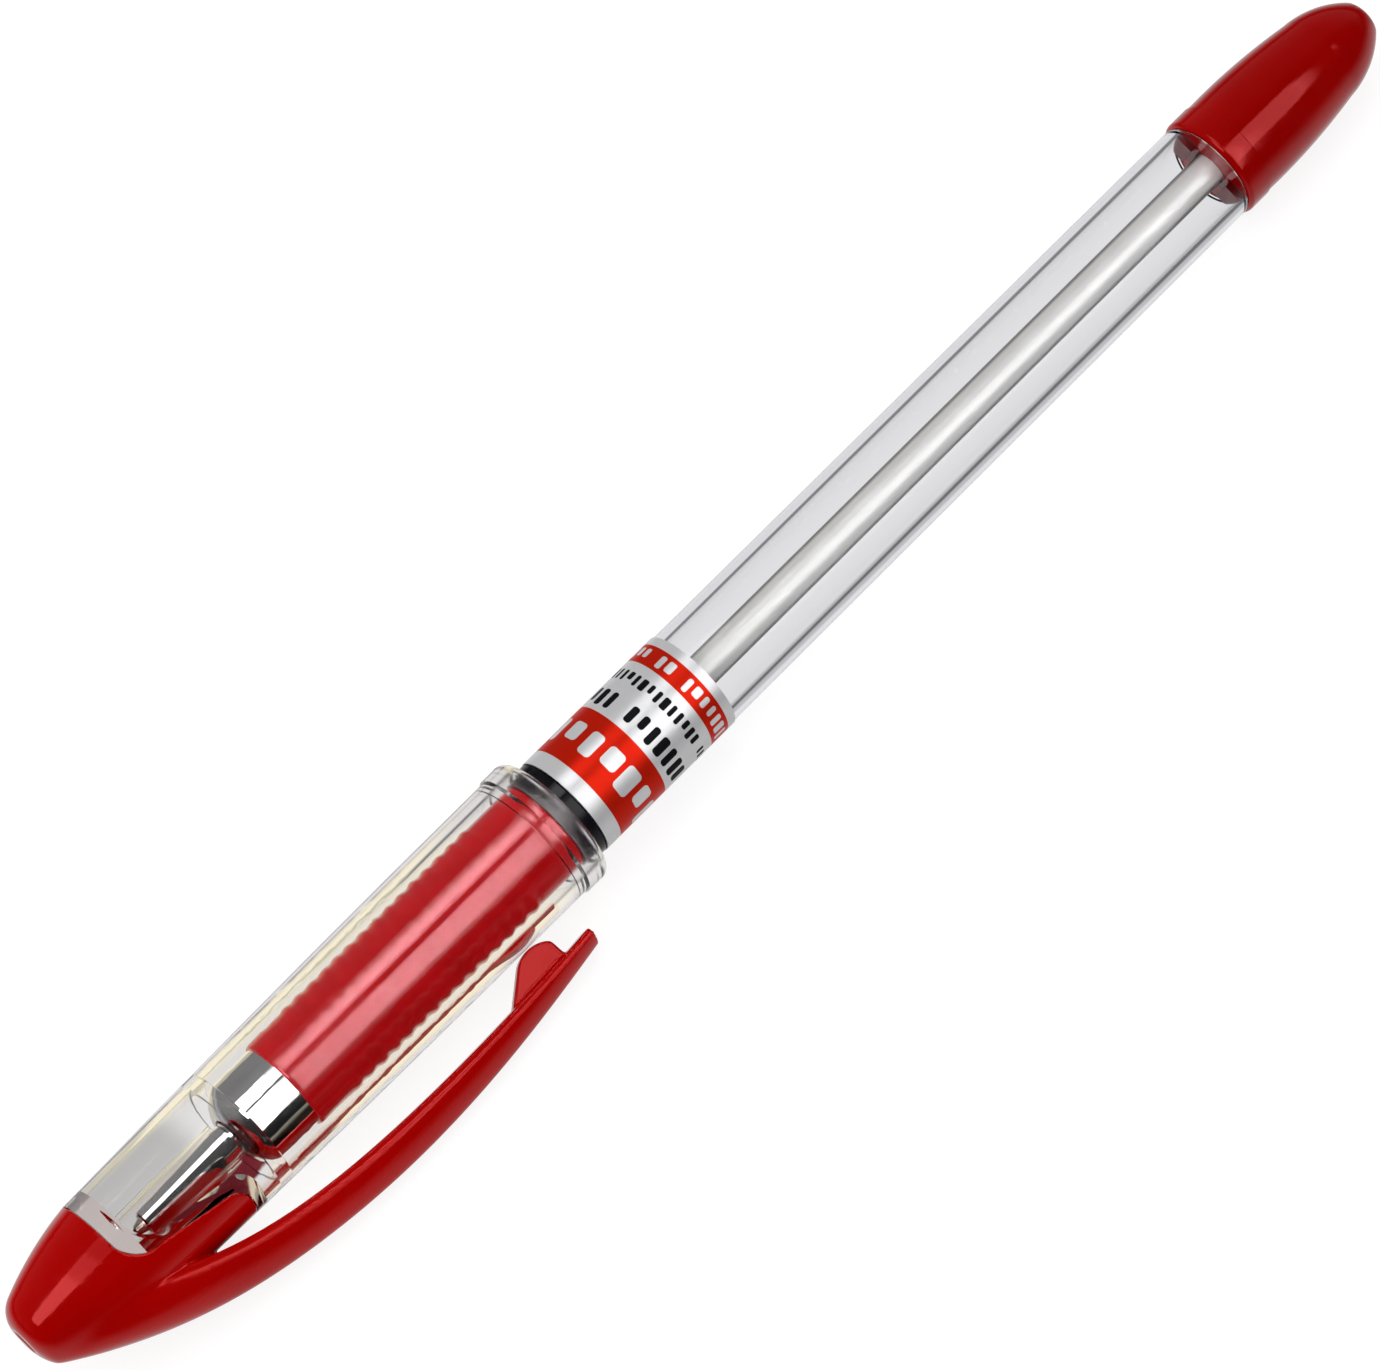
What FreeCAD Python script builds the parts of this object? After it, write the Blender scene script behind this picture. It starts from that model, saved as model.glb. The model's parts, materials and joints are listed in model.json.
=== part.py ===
import FreeCAD, Part
import math
import os

import Sketcher

# A capped ballpoint pen. Lengths are in millimetres.
#
# Every piece is drawn about the pen's own axis: X runs from the closed nose of the cap to
# the end plug, and the clip lies on the -Y side. At the end all pieces are turned and
# moved together, so that the pen lies on a table as it would come to rest.

SIZES = {
    # The red crown and the clip, one moulding
    "face_radius": 1.5,
    "nose_bulge": 1.4,
    "nose_bulge_radius": 3.18,
    "nose_round_place": 0.45,
    "nose_round_radius": 2.45,
    "nose_flank_place": 4.6,
    "nose_flank_radius": 4.27,
    "crown_edge": 8.85,
    "crown_wall": 1.0,
    "crown_fit": 0.03,
    "crown_seam": 0.04,
    "tongue_length": 10.0,
    "tongue_height": 2.9,
    "tongue_corner": 1.7,
    "edge_straight": 0.3,
    "edge_sweep": 2.9,
    "sweep_share": 0.66,
    "sweep_bow_place": 0.28,
    "sweep_bow_share": 0.4,
    "vent_length": 1.9,
    "vent_width": 0.7,
    "vent_depth": 0.9,
    # Sections of the clip: place along the pen, inner face beyond the cap's front radius,
    # thickness and half width
    "root_place": 0.3,
    "root_rise": -4.03,
    "root_thick": 1.7,
    "root_half": 1.5,
    "slit_place": 9.4,
    "slit_rise": -1.8,
    "slit_thick": 4.12,
    "slit_half": 3.4,
    "neck_place": 14.0,
    "neck_rise": 0.1,
    "neck_thick": 3.7,
    "neck_half": 3.1,
    "lift_place": 20.9,
    "lift_rise": 1.99,
    "lift_thick": 3.17,
    "lift_half": 2.55,
    "crest_place": 31.5,
    "crest_rise": 3.04,
    "crest_thick": 2.86,
    "crest_half": 2.25,
    "fall_place": 41.6,
    "fall_rise": 3.07,
    "fall_thick": 2.3,
    "fall_half": 1.95,
    "tip_place": 51.6,
    "tip_rise": 2.62,
    "tip_thick": 1.4,
    "tip_half": 1.6,
    "bevel_depth": 0.55,
    "bevel_width": 0.35,
    "fin_start": 42.4,
    "fin_ramp": 3.3,
    "fin_ramp_height": 0.42,
    "fin_length": 6.7,
    "fin_thick": 1.1,
    "fin_gap": 0.04,
    # The clear cap
    "front_radius": 5.08,
    "middle_radius": 5.49,
    "rear_radius": 5.64,
    "flange_radius": 5.8,
    "flange_length": 2.48,
    "flange_ramp": 0.25,
    "flange_round": 0.95,
    "lip_bow_place": 0.68,
    "lip_bow_share": 0.76,
    "lip_radius": 5.2,
    "mouth_cover": 0.08,
    "mouth_flare": 0.12,
    "mouth_depth": 3.0,
    "mouth_step": 0.07,
    "cap_fit": 0.14,
    "end_wall": 1.55,
    "land_width": 1.05,
    "land_front": 1.7,
    "spigot_front": 3.4,
    "spigot_front_radius": 2.7,
    "spigot_shoulder": 6.0,
    "spigot_shoulder_radius": 3.45,
    "spigot_hollow_radius": 2.25,
    "sleeve_radius": 1.9,
    "sleeve_bore": 1.45,
    "sleeve_mouth_bore": 1.62,
    "sleeve_gap": 0.5,
    "sleeve_floor": 0.3,
    "bead_offset": 0.3,
    "bead_length": 1.2,
    "bead_height": 0.42,
    "tip_room": 0.87,
    # The chromed nose and the writing point
    "ball_radius": 0.35,
    "ball_play": 0.02,
    "ball_crimp": 0.1,
    "ink_channel": 0.15,
    "lip_wall": 0.06,
    "point_reach": 1.0,
    "point_cone_length": 1.0,
    "point_radius": 0.78,
    "point_grip": 3.4,
    "snout_radius": 1.05,
    "snout_round": 0.15,
    "snout_base_radius": 1.4,
    "snout_length": 8.83,
    "snout_play": 0.04,
    "shoulder_length": 1.7,
    "shoulder_bow_place": 0.42,
    "shoulder_bow_share": 0.66,
    "nose_radius": 3.75,
    "band_length": 3.9,
    "seat_depth": 0.9,
    "socket_depth": 3.4,
    "thread_play": 0.05,
    "tube_play": 0.08,
    # The grip
    "grip_radius": 4.02,
    "grip_edge": 0.3,
    "grip_length": 28.2,
    "rib_height": 0.1,
    "rib_width": 0.95,
    "rib_crest": 0.35,
    "rib_pitch": 1.35,
    "rib_count": 15,
    "rib_start": 3.6,
    # The clear barrel
    "thread_radius": 2.85,
    "section_radius": 3.2,
    "section_bore": 1.6,
    "collar_land": 1.1,
    "collar_radius": 4.15,
    "barrel_radius": 4.43,
    "barrel_bore": 3.55,
    "bore_start": 3.4,
    "bore_taper": 2.0,
    "tube_length": 76.0,
    "tube_draft": 0.03,
    "draft_overrun": 0.65,
    "end_round": 0.25,
    # The dark ring and the foil label
    "ring_length": 1.1,
    "ring_radius": 4.48,
    "ring_seat": 4.0,
    "ring_edge": 0.12,
    "label_gap": 0.05,
    "label_length": 14.1,
    "label_play": 0.02,
    "label_thick": 0.08,
    # The end plug
    "plug_seat": 0.05,
    "skirt_radius": 4.66,
    "skirt_round": 0.45,
    "skirt_length": 2.25,
    "step_width": 0.08,
    "step_depth": 0.09,
    "plug_length": 19.0,
    # The plug's round end: radii, each at a share of the way from the step to the tip
    "waist_radius": 4.47,
    "waist_share": 0.346,
    "curve_radius": 3.92,
    "curve_share": 0.657,
    "brow_radius": 2.97,
    "brow_share": 0.866,
    "dome_radius": 1.8,
    "dome_share": 0.97,
    "dome_top_radius": 1.0,
    "dome_top_share": 0.993,
    "plug_play": 0.03,
    "prong_length": 1.5,
    "prong_width": 2.6,
    "prong_gap": 3.7,
    "prong_round": 0.5,
    "refill_socket": 1.5,
    "socket_length": 3.5,
    # The refill
    "refill_radius": 1.42,
    "refill_bore": 1.12,
    "holder_collar": 3.0,
    "holder_length": 8.0,
    "holder_play": 0.02,
    "holder_channel": 0.4,
    "ink_length": 75.0,
    "follower_length": 3.0,
}


class Size:
    """A length, with the expression that ties it to the sheet."""

    def __init__(self, value, text):
        self.value = value
        self.text = text

    def joined(self, other, sign, value):
        return Size(value, f"({self.text} {sign} {other.text})")

    def __add__(self, other):
        other = as_size(other)
        return self.joined(other, "+", self.value + other.value)

    def __sub__(self, other):
        other = as_size(other)
        return self.joined(other, "-", self.value - other.value)

    def __mul__(self, other):
        other = as_size(other)
        return self.joined(other, "*", self.value * other.value)

    def __truediv__(self, other):
        other = as_size(other)
        return self.joined(other, "/", self.value / other.value)

    def __neg__(self):
        return Size(-self.value, f"(0 - {self.text})")


def as_size(number):
    """A Size as it is, or a plain number as a Size."""
    return number if isinstance(number, Size) else Size(float(number), repr(float(number)))


def leg(longest, other):
    """The third side of a right triangle, from its longest side and one leg."""
    value = math.sqrt(longest.value**2 - other.value**2)
    return Size(value, f"sqrt({longest.text}^2 - {other.text}^2)")


def between(low, high, share):
    """A length that lies a share of the way from one length to another."""
    return low + (high - low) * share


document = FreeCAD.newDocument("Pen")
sheet = document.addObject("Spreadsheet::Sheet", "Sizes")
for row, (alias, number) in enumerate(SIZES.items(), 1):
    sheet.set(f"A{row}", alias)
    sheet.set(f"B{row}", str(number))
    sheet.setAlias(f"B{row}", alias)
document.recompute()


def size(alias):
    """The named length of the sheet."""
    return Size(float(sheet.get(alias)), f"Sizes.{alias}")


# Places along the axis, each measured from the nose of the cap

crown_edge = size("crown_edge")
tongue_end = crown_edge + size("tongue_length")
cavity_start = crown_edge + size("end_wall")
point_front = cavity_start + size("tip_room")
ball_centre = point_front + size("ball_radius")
snout_front = point_front + size("point_reach")
shoulder_start = snout_front + size("snout_length")
band_start = shoulder_start + size("shoulder_length")
grip_start = band_start + size("band_length")
grip_end = grip_start + size("grip_length")
ring_start = grip_end + size("collar_land")
tube_start = ring_start + size("ring_length")
label_start = tube_start + size("label_gap")
label_end = label_start + size("label_length")
barrel_end = grip_end + size("tube_length")
plug_start = barrel_end + size("plug_seat")
plug_end = plug_start + size("plug_length")
spigot_start = plug_start - size("prong_length")
cap_end = ring_start + size("mouth_cover")
flange_start = cap_end - size("flange_length")
seat_face = shoulder_start + size("seat_depth")
socket_face = grip_start - size("socket_depth")
holder_end = seat_face + size("holder_length")
ink_end = holder_end + size("ink_length")
refill_end = plug_start + size("socket_length")

# Radii that follow from a neighbour's

cap_bore = size("ring_radius") + size("cap_fit")
spigot_radius = size("front_radius") - size("crown_wall")

ORIGIN = as_size(0.0)
# How far a cut runs past the solid that it cuts
OVERRUN = 1.0
# Half the width of a cut that goes right across the cap
side_reach = size("flange_radius") * 1.5
# The middle of a quarter round, as a share of its radius: how far it lies from the centre
# along each leg, and how far it stands in from the corner
DIAGONAL = math.sqrt(0.5)
BOW = 1.0 - DIAGONAL


class To:
    """A straight stretch of an outline that ends at a corner."""

    def __init__(self, x, y):
        self.end = (as_size(x), as_size(y))
        self.through = None


class Round(To):
    """A round stretch of an outline, through one point to a corner."""

    def __init__(self, through_x, through_y, x, y):
        super().__init__(x, y)
        self.through = (as_size(through_x), as_size(through_y))


def vector(point):
    return FreeCAD.Vector(point[0].value, point[1].value, 0)


def origin_plane(body, role):
    """The plane of a body's own origin that has the given role."""
    return next(f for f in body.Origin.OriginFeatures if f.Role == role)


def new_body(name):
    body = document.addObject("PartDesign::Body", name)
    body.Label = name
    return body


def hold(sketch, item, end, point):
    """Ties one end of a drawn item to a place given by the sheet."""
    for kind, axis, length in (("DistanceX", -2, point[0]), ("DistanceY", -1, point[1])):
        if length.text == ORIGIN.text:
            sketch.addConstraint(Sketcher.Constraint("PointOnObject", item, end, axis))
        else:
            tie = Sketcher.Constraint(kind, -1, 1, item, end, length.value)
            number = sketch.addConstraint(tie)
            sketch.setExpression(f"Constraints[{number}]", length.text)


def outline(body, name, stretches, role="XY_Plane", offset=None):
    """A closed sketch. Each stretch starts where the one before it ends."""
    sketch = body.newObject("Sketcher::SketchObject", name)
    sketch.AttachmentSupport = (origin_plane(body, role), [""])
    sketch.MapMode = "FlatFace"
    if offset is not None:
        sketch.setExpression("AttachmentOffset.Base.z", offset.text)
    ends = []
    start = stretches[-1].end
    for stretch in stretches:
        here, there = vector(start), vector(stretch.end)
        if stretch.through is None:
            item = sketch.addGeometry(Part.LineSegment(here, there), False)
            first = 1
        else:
            middle = vector(stretch.through)
            turns_left = (middle - here).cross(there - middle).z > 0
            first = 1 if turns_left else 2
            arc = Part.Arc(here, middle, there) if turns_left else Part.Arc(there, middle, here)
            item = sketch.addGeometry(arc, False)
            mark = sketch.addGeometry(Part.Point(middle), True)
            hold(sketch, mark, 1, stretch.through)
            sketch.addConstraint(Sketcher.Constraint("PointOnObject", mark, 1, item))
        ends.append((item, first, 3 - first))
        start = stretch.end
    for number, (item, _, last) in enumerate(ends):
        following, first, _ = ends[(number + 1) % len(ends)]
        sketch.addConstraint(Sketcher.Constraint("Coincident", item, last, following, first))
        hold(sketch, item, last, stretches[number].end)
    return sketch


def turned(body, name, stretches, cut=False):
    """A revolution about the pen's axis, or a groove that it cuts."""
    sketch = outline(body, name + "_outline", stretches)
    kind = "PartDesign::Groove" if cut else "PartDesign::Revolution"
    feature = body.newObject(kind, name)
    feature.Profile = sketch
    feature.ReferenceAxis = (sketch, ["H_Axis"])
    feature.Angle = 360
    return feature


def through_pad(body, name, stretches, thickness, cut=False, role="XY_Plane"):
    """A pad or pocket that reaches half its thickness each side of the drawing."""
    sketch = outline(body, name + "_outline", stretches, role)
    feature = body.newObject("PartDesign::Pocket" if cut else "PartDesign::Pad", name)
    feature.Profile = sketch
    feature.Midplane = True
    feature.setExpression("Length", thickness.text)
    return feature


def edge_path(margin, front):
    """The crown's open edge seen from the side, moved away from the crown by a margin.

    Its straight part, at the front, has a margin of its own.

    It falls straight across the cap, sweeps towards the mouth along the top of the
    tongue, and turns down over the tongue's rounded end.
    """
    edge = crown_edge + front
    top = -(size("tongue_height") - margin)
    sweep = size("edge_sweep")
    end = tongue_end + margin
    corner = size("tongue_corner")
    bow_place = edge + sweep * size("sweep_bow_place")
    bow_height = top * size("sweep_bow_share")
    return [
        To(edge, side_reach),
        To(edge, size("edge_straight") + margin),
        Round(bow_place, bow_height, edge + sweep, top * size("sweep_share")),
        To(end - corner, top),
        Round(end - corner * BOW, top - corner * BOW, end, top - corner),
        To(end, -side_reach),
    ]


def crown_region(margin, front):
    """The outline, seen from the side, of all that lies on the crown's side of its edge."""
    return [To(-OVERRUN, -side_reach), To(-OVERRUN, side_reach), *edge_path(margin, front)]


def cap_side():
    """The long, slightly barrelled side of the cap, from the crown's edge to the flange."""
    middle = between(crown_edge, flange_start, 0.5)
    return Round(middle, size("middle_radius"), flange_start, size("rear_radius"))


def cap_outline():
    """The outside of the clear cap from the crown's edge to its mouth."""
    ramp = flange_start + size("flange_ramp")
    rounding = cap_end - size("flange_round")
    bow_place = between(rounding, cap_end, size("lip_bow_place"))
    bow_height = between(size("lip_radius"), size("flange_radius"), size("lip_bow_share"))
    return [
        cap_side(),
        To(ramp, size("flange_radius")),
        To(rounding, size("flange_radius")),
        Round(bow_place, bow_height, cap_end, size("lip_radius")),
    ]


def make_cap_blank():
    """The clear cap with its spigot for the crown, before it is hollowed."""
    body = new_body("cap_blank")
    stretches = [
        To(crown_edge, 0),
        To(crown_edge, size("spigot_hollow_radius")),
        To(size("spigot_front"), size("spigot_hollow_radius")),
        To(size("spigot_front"), size("spigot_front_radius")),
        To(size("spigot_shoulder"), size("spigot_shoulder_radius")),
        To(crown_edge, spigot_radius),
        To(crown_edge, size("front_radius")),
        *cap_outline(),
        To(cap_end, 0),
    ]
    turned(body, "cap_outside", stretches)
    return body


def make_crown_space():
    """The space round the spigot that the crown fills."""
    body = new_body("crown_space")
    seam = size("crown_seam")
    through_pad(body, "crown_side", crown_region(seam, seam), side_reach * 2)
    stretches = [
        To(-side_reach, 0),
        To(-side_reach, spigot_radius),
        To(cap_end, spigot_radius),
        To(cap_end, 0),
    ]
    turned(body, "spigot_core", stretches, cut=True)
    return body


def make_cap_cavity():
    """The hollow of the cap: the bore for the pen, and the one in the sealing sleeve."""
    body = new_body("cap_cavity")
    sleeve_end = shoulder_start - size("sleeve_gap")
    bead = shoulder_start + size("bead_offset")
    bead_end = bead + size("bead_length")
    bead_radius = cap_bore - size("bead_height")
    mouth = cap_end - size("mouth_depth")
    mouth_bore = cap_bore + size("mouth_step")
    outside = cap_end + OVERRUN
    stretches = [
        To(cavity_start, size("sleeve_radius")),
        To(cavity_start, cap_bore),
        To(bead, cap_bore),
        To(bead, bead_radius),
        To(bead_end, bead_radius),
        To(bead_end, cap_bore),
        To(mouth, cap_bore),
        To(mouth + size("mouth_step"), mouth_bore),
        To(cap_end - size("mouth_flare"), mouth_bore),
        To(outside, mouth_bore + size("mouth_flare") + OVERRUN),
        To(outside, 0),
        To(sleeve_end, 0),
        To(sleeve_end, size("sleeve_radius")),
    ]
    turned(body, "main_bore", stretches)
    land = crown_region(size("land_width"), size("land_front"))
    through_pad(body, "tongue_land", land, side_reach * 2, cut=True)
    floor = cavity_start + size("sleeve_floor")
    stretches = [
        To(floor, 0),
        To(floor, size("sleeve_bore")),
        To(sleeve_end + OVERRUN, size("sleeve_mouth_bore")),
        To(sleeve_end + OVERRUN, 0),
    ]
    turned(body, "sleeve_bore_hollow", stretches)
    return body


def difference(name, base, tool):
    """What is left of one solid when another is taken from it."""
    result = document.addObject("Part::Cut", name)
    result.Label = name
    result.Base = base
    result.Tool = tool
    return result


def make_cap_body():
    stepped = difference("cap_stepped", make_cap_blank(), make_crown_space())
    return difference("cap_body", stepped, make_cap_cavity())


def clip_section(body, station):
    """One section of the clip: flat inside, bevelled, and round outside."""
    half = size(station + "_half")
    inner = size("front_radius") + size(station + "_rise")
    outer = inner + size(station + "_thick")
    ridge = inner + size("bevel_depth")
    flat = half - size("bevel_width")
    stretches = [
        To(-inner, -flat),
        To(-inner, flat),
        To(-ridge, half),
        Round(-outer, 0, -ridge, -half),
    ]
    return outline(body, station + "_section", stretches, "YZ_Plane", size(station + "_place"))


def make_clip_crown():
    """The crown, the clip and the fin under the clip's tip, moulded as one."""
    body = new_body("clip_crown")
    front = size("front_radius")
    bulge = size("nose_bulge")
    stretches = [
        To(0, 0),
        To(0, size("face_radius")),
        Round(
            size("nose_round_place"),
            size("nose_round_radius"),
            bulge,
            size("nose_bulge_radius"),
        ),
        Round(size("nose_flank_place"), size("nose_flank_radius"), crown_edge, front),
        cap_side(),
        To(flange_start, 0),
    ]
    turned(body, "crown_outside", stretches)
    stretches = [To(cap_end, side_reach), *edge_path(ORIGIN, ORIGIN), To(cap_end, -side_reach)]
    through_pad(body, "open_edge", stretches, side_reach * 2, cut=True)
    stations = ("root", "slit", "neck", "lift", "crest", "fall", "tip")
    sections = [clip_section(body, station) for station in stations]
    clip = body.newObject("PartDesign::AdditiveLoft", "clip")
    clip.Profile = sections[0]
    clip.Sections = sections[1:]
    fit = size("crown_fit")
    stretches = [
        To(size("spigot_front") - fit, 0),
        To(size("spigot_front") - fit, size("spigot_front_radius") + fit),
        To(size("spigot_shoulder") - fit, size("spigot_shoulder_radius") + fit),
        To(crown_edge, spigot_radius + fit),
        To(tongue_end + OVERRUN, spigot_radius + fit),
        To(tongue_end + OVERRUN, 0),
    ]
    turned(body, "spigot_hollow", stretches, cut=True)
    add_fin(body)
    add_vent(body)
    return body


def add_fin(body):
    """The thin fin that bears on the cap under the clip's tip."""
    start = size("fin_start")
    end = start + size("fin_length")
    inner = size("front_radius") + size("fall_rise")
    buried = -(inner + size("bevel_depth"))
    crest = -(size("rear_radius") + size("fin_gap"))
    foot = crest - size("fin_ramp_height")
    ramp_end = start + size("fin_ramp")
    peak = between(ramp_end, end, 0.5)
    stretches = [
        To(start, buried),
        To(ramp_end, foot),
        Round(peak, crest, end, foot - size("fin_ramp_height")),
        To(end, buried),
    ]
    through_pad(body, "fin", stretches, size("fin_thick"))


def add_vent(body):
    """The slot in the nose that lets air through."""
    half = size("vent_width") / 2.0
    long = size("vent_length") / 2.0
    straight = long - half
    stretches = [
        To(straight, -half),
        Round(long, 0, straight, half),
        To(-straight, half),
        Round(-long, 0, -straight, -half),
    ]
    sketch = outline(body, "vent_outline", stretches, "YZ_Plane")
    vent = body.newObject("PartDesign::Pocket", "vent")
    vent.Profile = sketch
    vent.Reversed = True
    vent.setExpression("Length", size("vent_depth").text)
    return vent


def make_nose_cone():
    """The chromed nose, which screws on to the front of the barrel."""
    body = new_body("nose_cone")
    bore = size("point_radius") + size("snout_play")
    edge = size("snout_round")
    tube_room = size("refill_radius") + size("tube_play")
    socket = size("thread_radius") + size("thread_play")
    bow_place = between(shoulder_start, band_start, size("shoulder_bow_place"))
    bow_share = size("shoulder_bow_share")
    bow_radius = between(size("snout_base_radius"), size("nose_radius"), bow_share)
    stretches = [
        To(snout_front, bore),
        To(snout_front, size("snout_radius") - edge),
        To(snout_front + edge, size("snout_radius")),
        To(shoulder_start, size("snout_base_radius")),
        Round(bow_place, bow_radius, band_start, size("nose_radius")),
        To(grip_start, size("nose_radius")),
        To(grip_start, socket),
        To(socket_face, socket),
        To(socket_face, tube_room),
        To(seat_face, tube_room),
        To(seat_face, bore),
    ]
    turned(body, "nose", stretches)
    return body


def make_writing_point():
    """The metal point, with the socket that holds the ball."""
    body = new_body("writing_point")
    seat = size("ball_radius") + size("ball_play")
    crimp = size("ball_crimp")
    rim = leg(seat, crimp)
    channel = size("ink_channel")
    cone_end = ball_centre + size("point_cone_length")
    rear = seat_face + size("point_grip")
    middle = seat * DIAGONAL
    stretches = [
        To(ball_centre - crimp, rim + size("lip_wall")),
        To(cone_end, size("point_radius")),
        To(rear, size("point_radius")),
        To(rear, channel),
        To(ball_centre + leg(seat, channel), channel),
        Round(ball_centre + middle, middle, ball_centre - crimp, rim),
    ]
    turned(body, "point", stretches)
    return body


def make_writing_ball():
    ball = document.addObject("Part::Sphere", "writing_ball")
    ball.Label = "writing_ball"
    ball.setExpression("Radius", size("ball_radius").text)
    seat = FreeCAD.Vector(ball_centre.value, 0, 0)
    ball.Placement = FreeCAD.Placement(seat, FreeCAD.Rotation())
    return ball


def make_point_holder():
    """The plastic piece that joins the point to the refill's tube."""
    body = new_body("point_holder")
    collar_end = seat_face + size("holder_collar")
    socket_end = seat_face + size("point_grip")
    socket = size("point_radius") + size("holder_play")
    stretches = [
        To(seat_face, socket),
        To(seat_face, size("refill_radius")),
        To(collar_end, size("refill_radius")),
        To(collar_end, size("refill_bore") - size("holder_play")),
        To(holder_end, size("refill_bore") - size("holder_play")),
        To(holder_end, size("holder_channel")),
        To(socket_end, size("holder_channel")),
        To(socket_end, socket),
    ]
    turned(body, "holder", stretches)
    return body


def make_refill_tube():
    body = new_body("refill_tube")
    start = seat_face + size("holder_collar")
    stretches = [
        To(start, size("refill_bore")),
        To(start, size("refill_radius")),
        To(refill_end, size("refill_radius")),
        To(refill_end, size("refill_bore")),
    ]
    turned(body, "tube", stretches)
    return body


def make_ink_column():
    """The ink, which also fills the channel of the point's holder."""
    body = new_body("ink_column")
    play = size("holder_play")
    stretches = [
        To(seat_face + size("point_grip"), 0),
        To(seat_face + size("point_grip"), size("holder_channel") - play),
        To(holder_end, size("holder_channel") - play),
        To(holder_end, size("refill_bore") - play),
        To(ink_end, size("refill_bore") - play),
        To(ink_end, 0),
    ]
    turned(body, "ink", stretches)
    return body


def make_ink_follower():
    """The plug of grease that follows the ink down the tube."""
    body = new_body("ink_follower")
    end = ink_end + size("follower_length")
    radius = size("refill_bore") - size("holder_play")
    stretches = [
        To(ink_end, 0),
        To(ink_end, radius),
        To(end, radius),
        To(end, 0),
    ]
    turned(body, "grease", stretches)
    return body


def make_grip_sleeve():
    """The rubber grip, with rings of shallow ribs round its middle."""
    body = new_body("grip_sleeve")
    edge = size("grip_edge")
    outside = size("grip_radius")
    inside = size("section_radius")
    stretches = [
        To(grip_start, inside),
        To(grip_start, outside - edge),
        To(grip_start + edge, outside),
        To(grip_end - edge, outside),
        To(grip_end, outside - edge),
        To(grip_end, inside),
    ]
    turned(body, "sleeve", stretches)
    first = grip_start + size("rib_start")
    width = size("rib_width")
    slope = (width - size("rib_crest")) / 2.0
    crest = outside + size("rib_height")
    under = outside - size("rib_height")
    stretches = [
        To(first, under),
        To(first, outside),
        To(first + slope, crest),
        To(first + width - slope, crest),
        To(first + width, outside),
        To(first + width, under),
    ]
    rib = turned(body, "rib", stretches)
    ribs = body.newObject("PartDesign::LinearPattern", "ribs")
    ribs.Originals = [rib]
    ribs.Direction = (rib.Profile[0], ["H_Axis"])
    ribs.setExpression("Length", "Sizes.rib_pitch * (Sizes.rib_count - 1)")
    ribs.setExpression("Occurrences", "Sizes.rib_count")
    body.Tip = ribs
    return body


def make_barrel():
    """The clear barrel: thread, grip section, collar, and the tube round the refill."""
    body = new_body("barrel")
    front = socket_face + size("thread_play") * 2
    bore_full = tube_start + size("bore_start")
    bore_narrow = bore_full - size("bore_taper")
    lip = size("end_round")
    stretches = [
        To(front, size("section_bore")),
        To(front, size("thread_radius")),
        To(grip_start, size("thread_radius")),
        To(grip_start, size("section_radius")),
        To(grip_end, size("section_radius")),
        To(grip_end, size("collar_radius")),
        To(ring_start, size("collar_radius")),
        To(ring_start, size("ring_seat")),
        To(tube_start, size("ring_seat")),
        To(tube_start, size("barrel_radius") - size("tube_draft")),
        To(label_end + size("draft_overrun"), size("barrel_radius")),
        To(barrel_end - lip, size("barrel_radius")),
        Round(
            barrel_end - lip * BOW,
            size("barrel_radius") - lip * BOW,
            barrel_end,
            size("barrel_radius") - lip,
        ),
        To(barrel_end, size("barrel_bore")),
        To(bore_full, size("barrel_bore")),
        To(bore_narrow, size("section_bore")),
    ]
    turned(body, "tube_and_section", stretches)
    return body


def make_collar_ring():
    """The dark ring that the cap's mouth closes on."""
    body = new_body("collar_ring")
    edge = size("ring_edge")
    stretches = [
        To(ring_start, size("ring_seat")),
        To(ring_start, size("ring_radius") - edge),
        To(ring_start + edge, size("ring_radius")),
        To(tube_start - edge, size("ring_radius")),
        To(tube_start, size("ring_radius") - edge),
        To(tube_start, size("ring_seat")),
    ]
    turned(body, "ring", stretches)
    return body


def make_label_sleeve():
    """The printed foil round the barrel."""
    body = new_body("label_sleeve")
    inside = size("barrel_radius") + size("label_play")
    outside = inside + size("label_thick")
    stretches = [
        To(label_start, inside),
        To(label_start, outside),
        To(label_end, outside),
        To(label_end, inside),
    ]
    turned(body, "foil", stretches)
    return body


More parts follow.
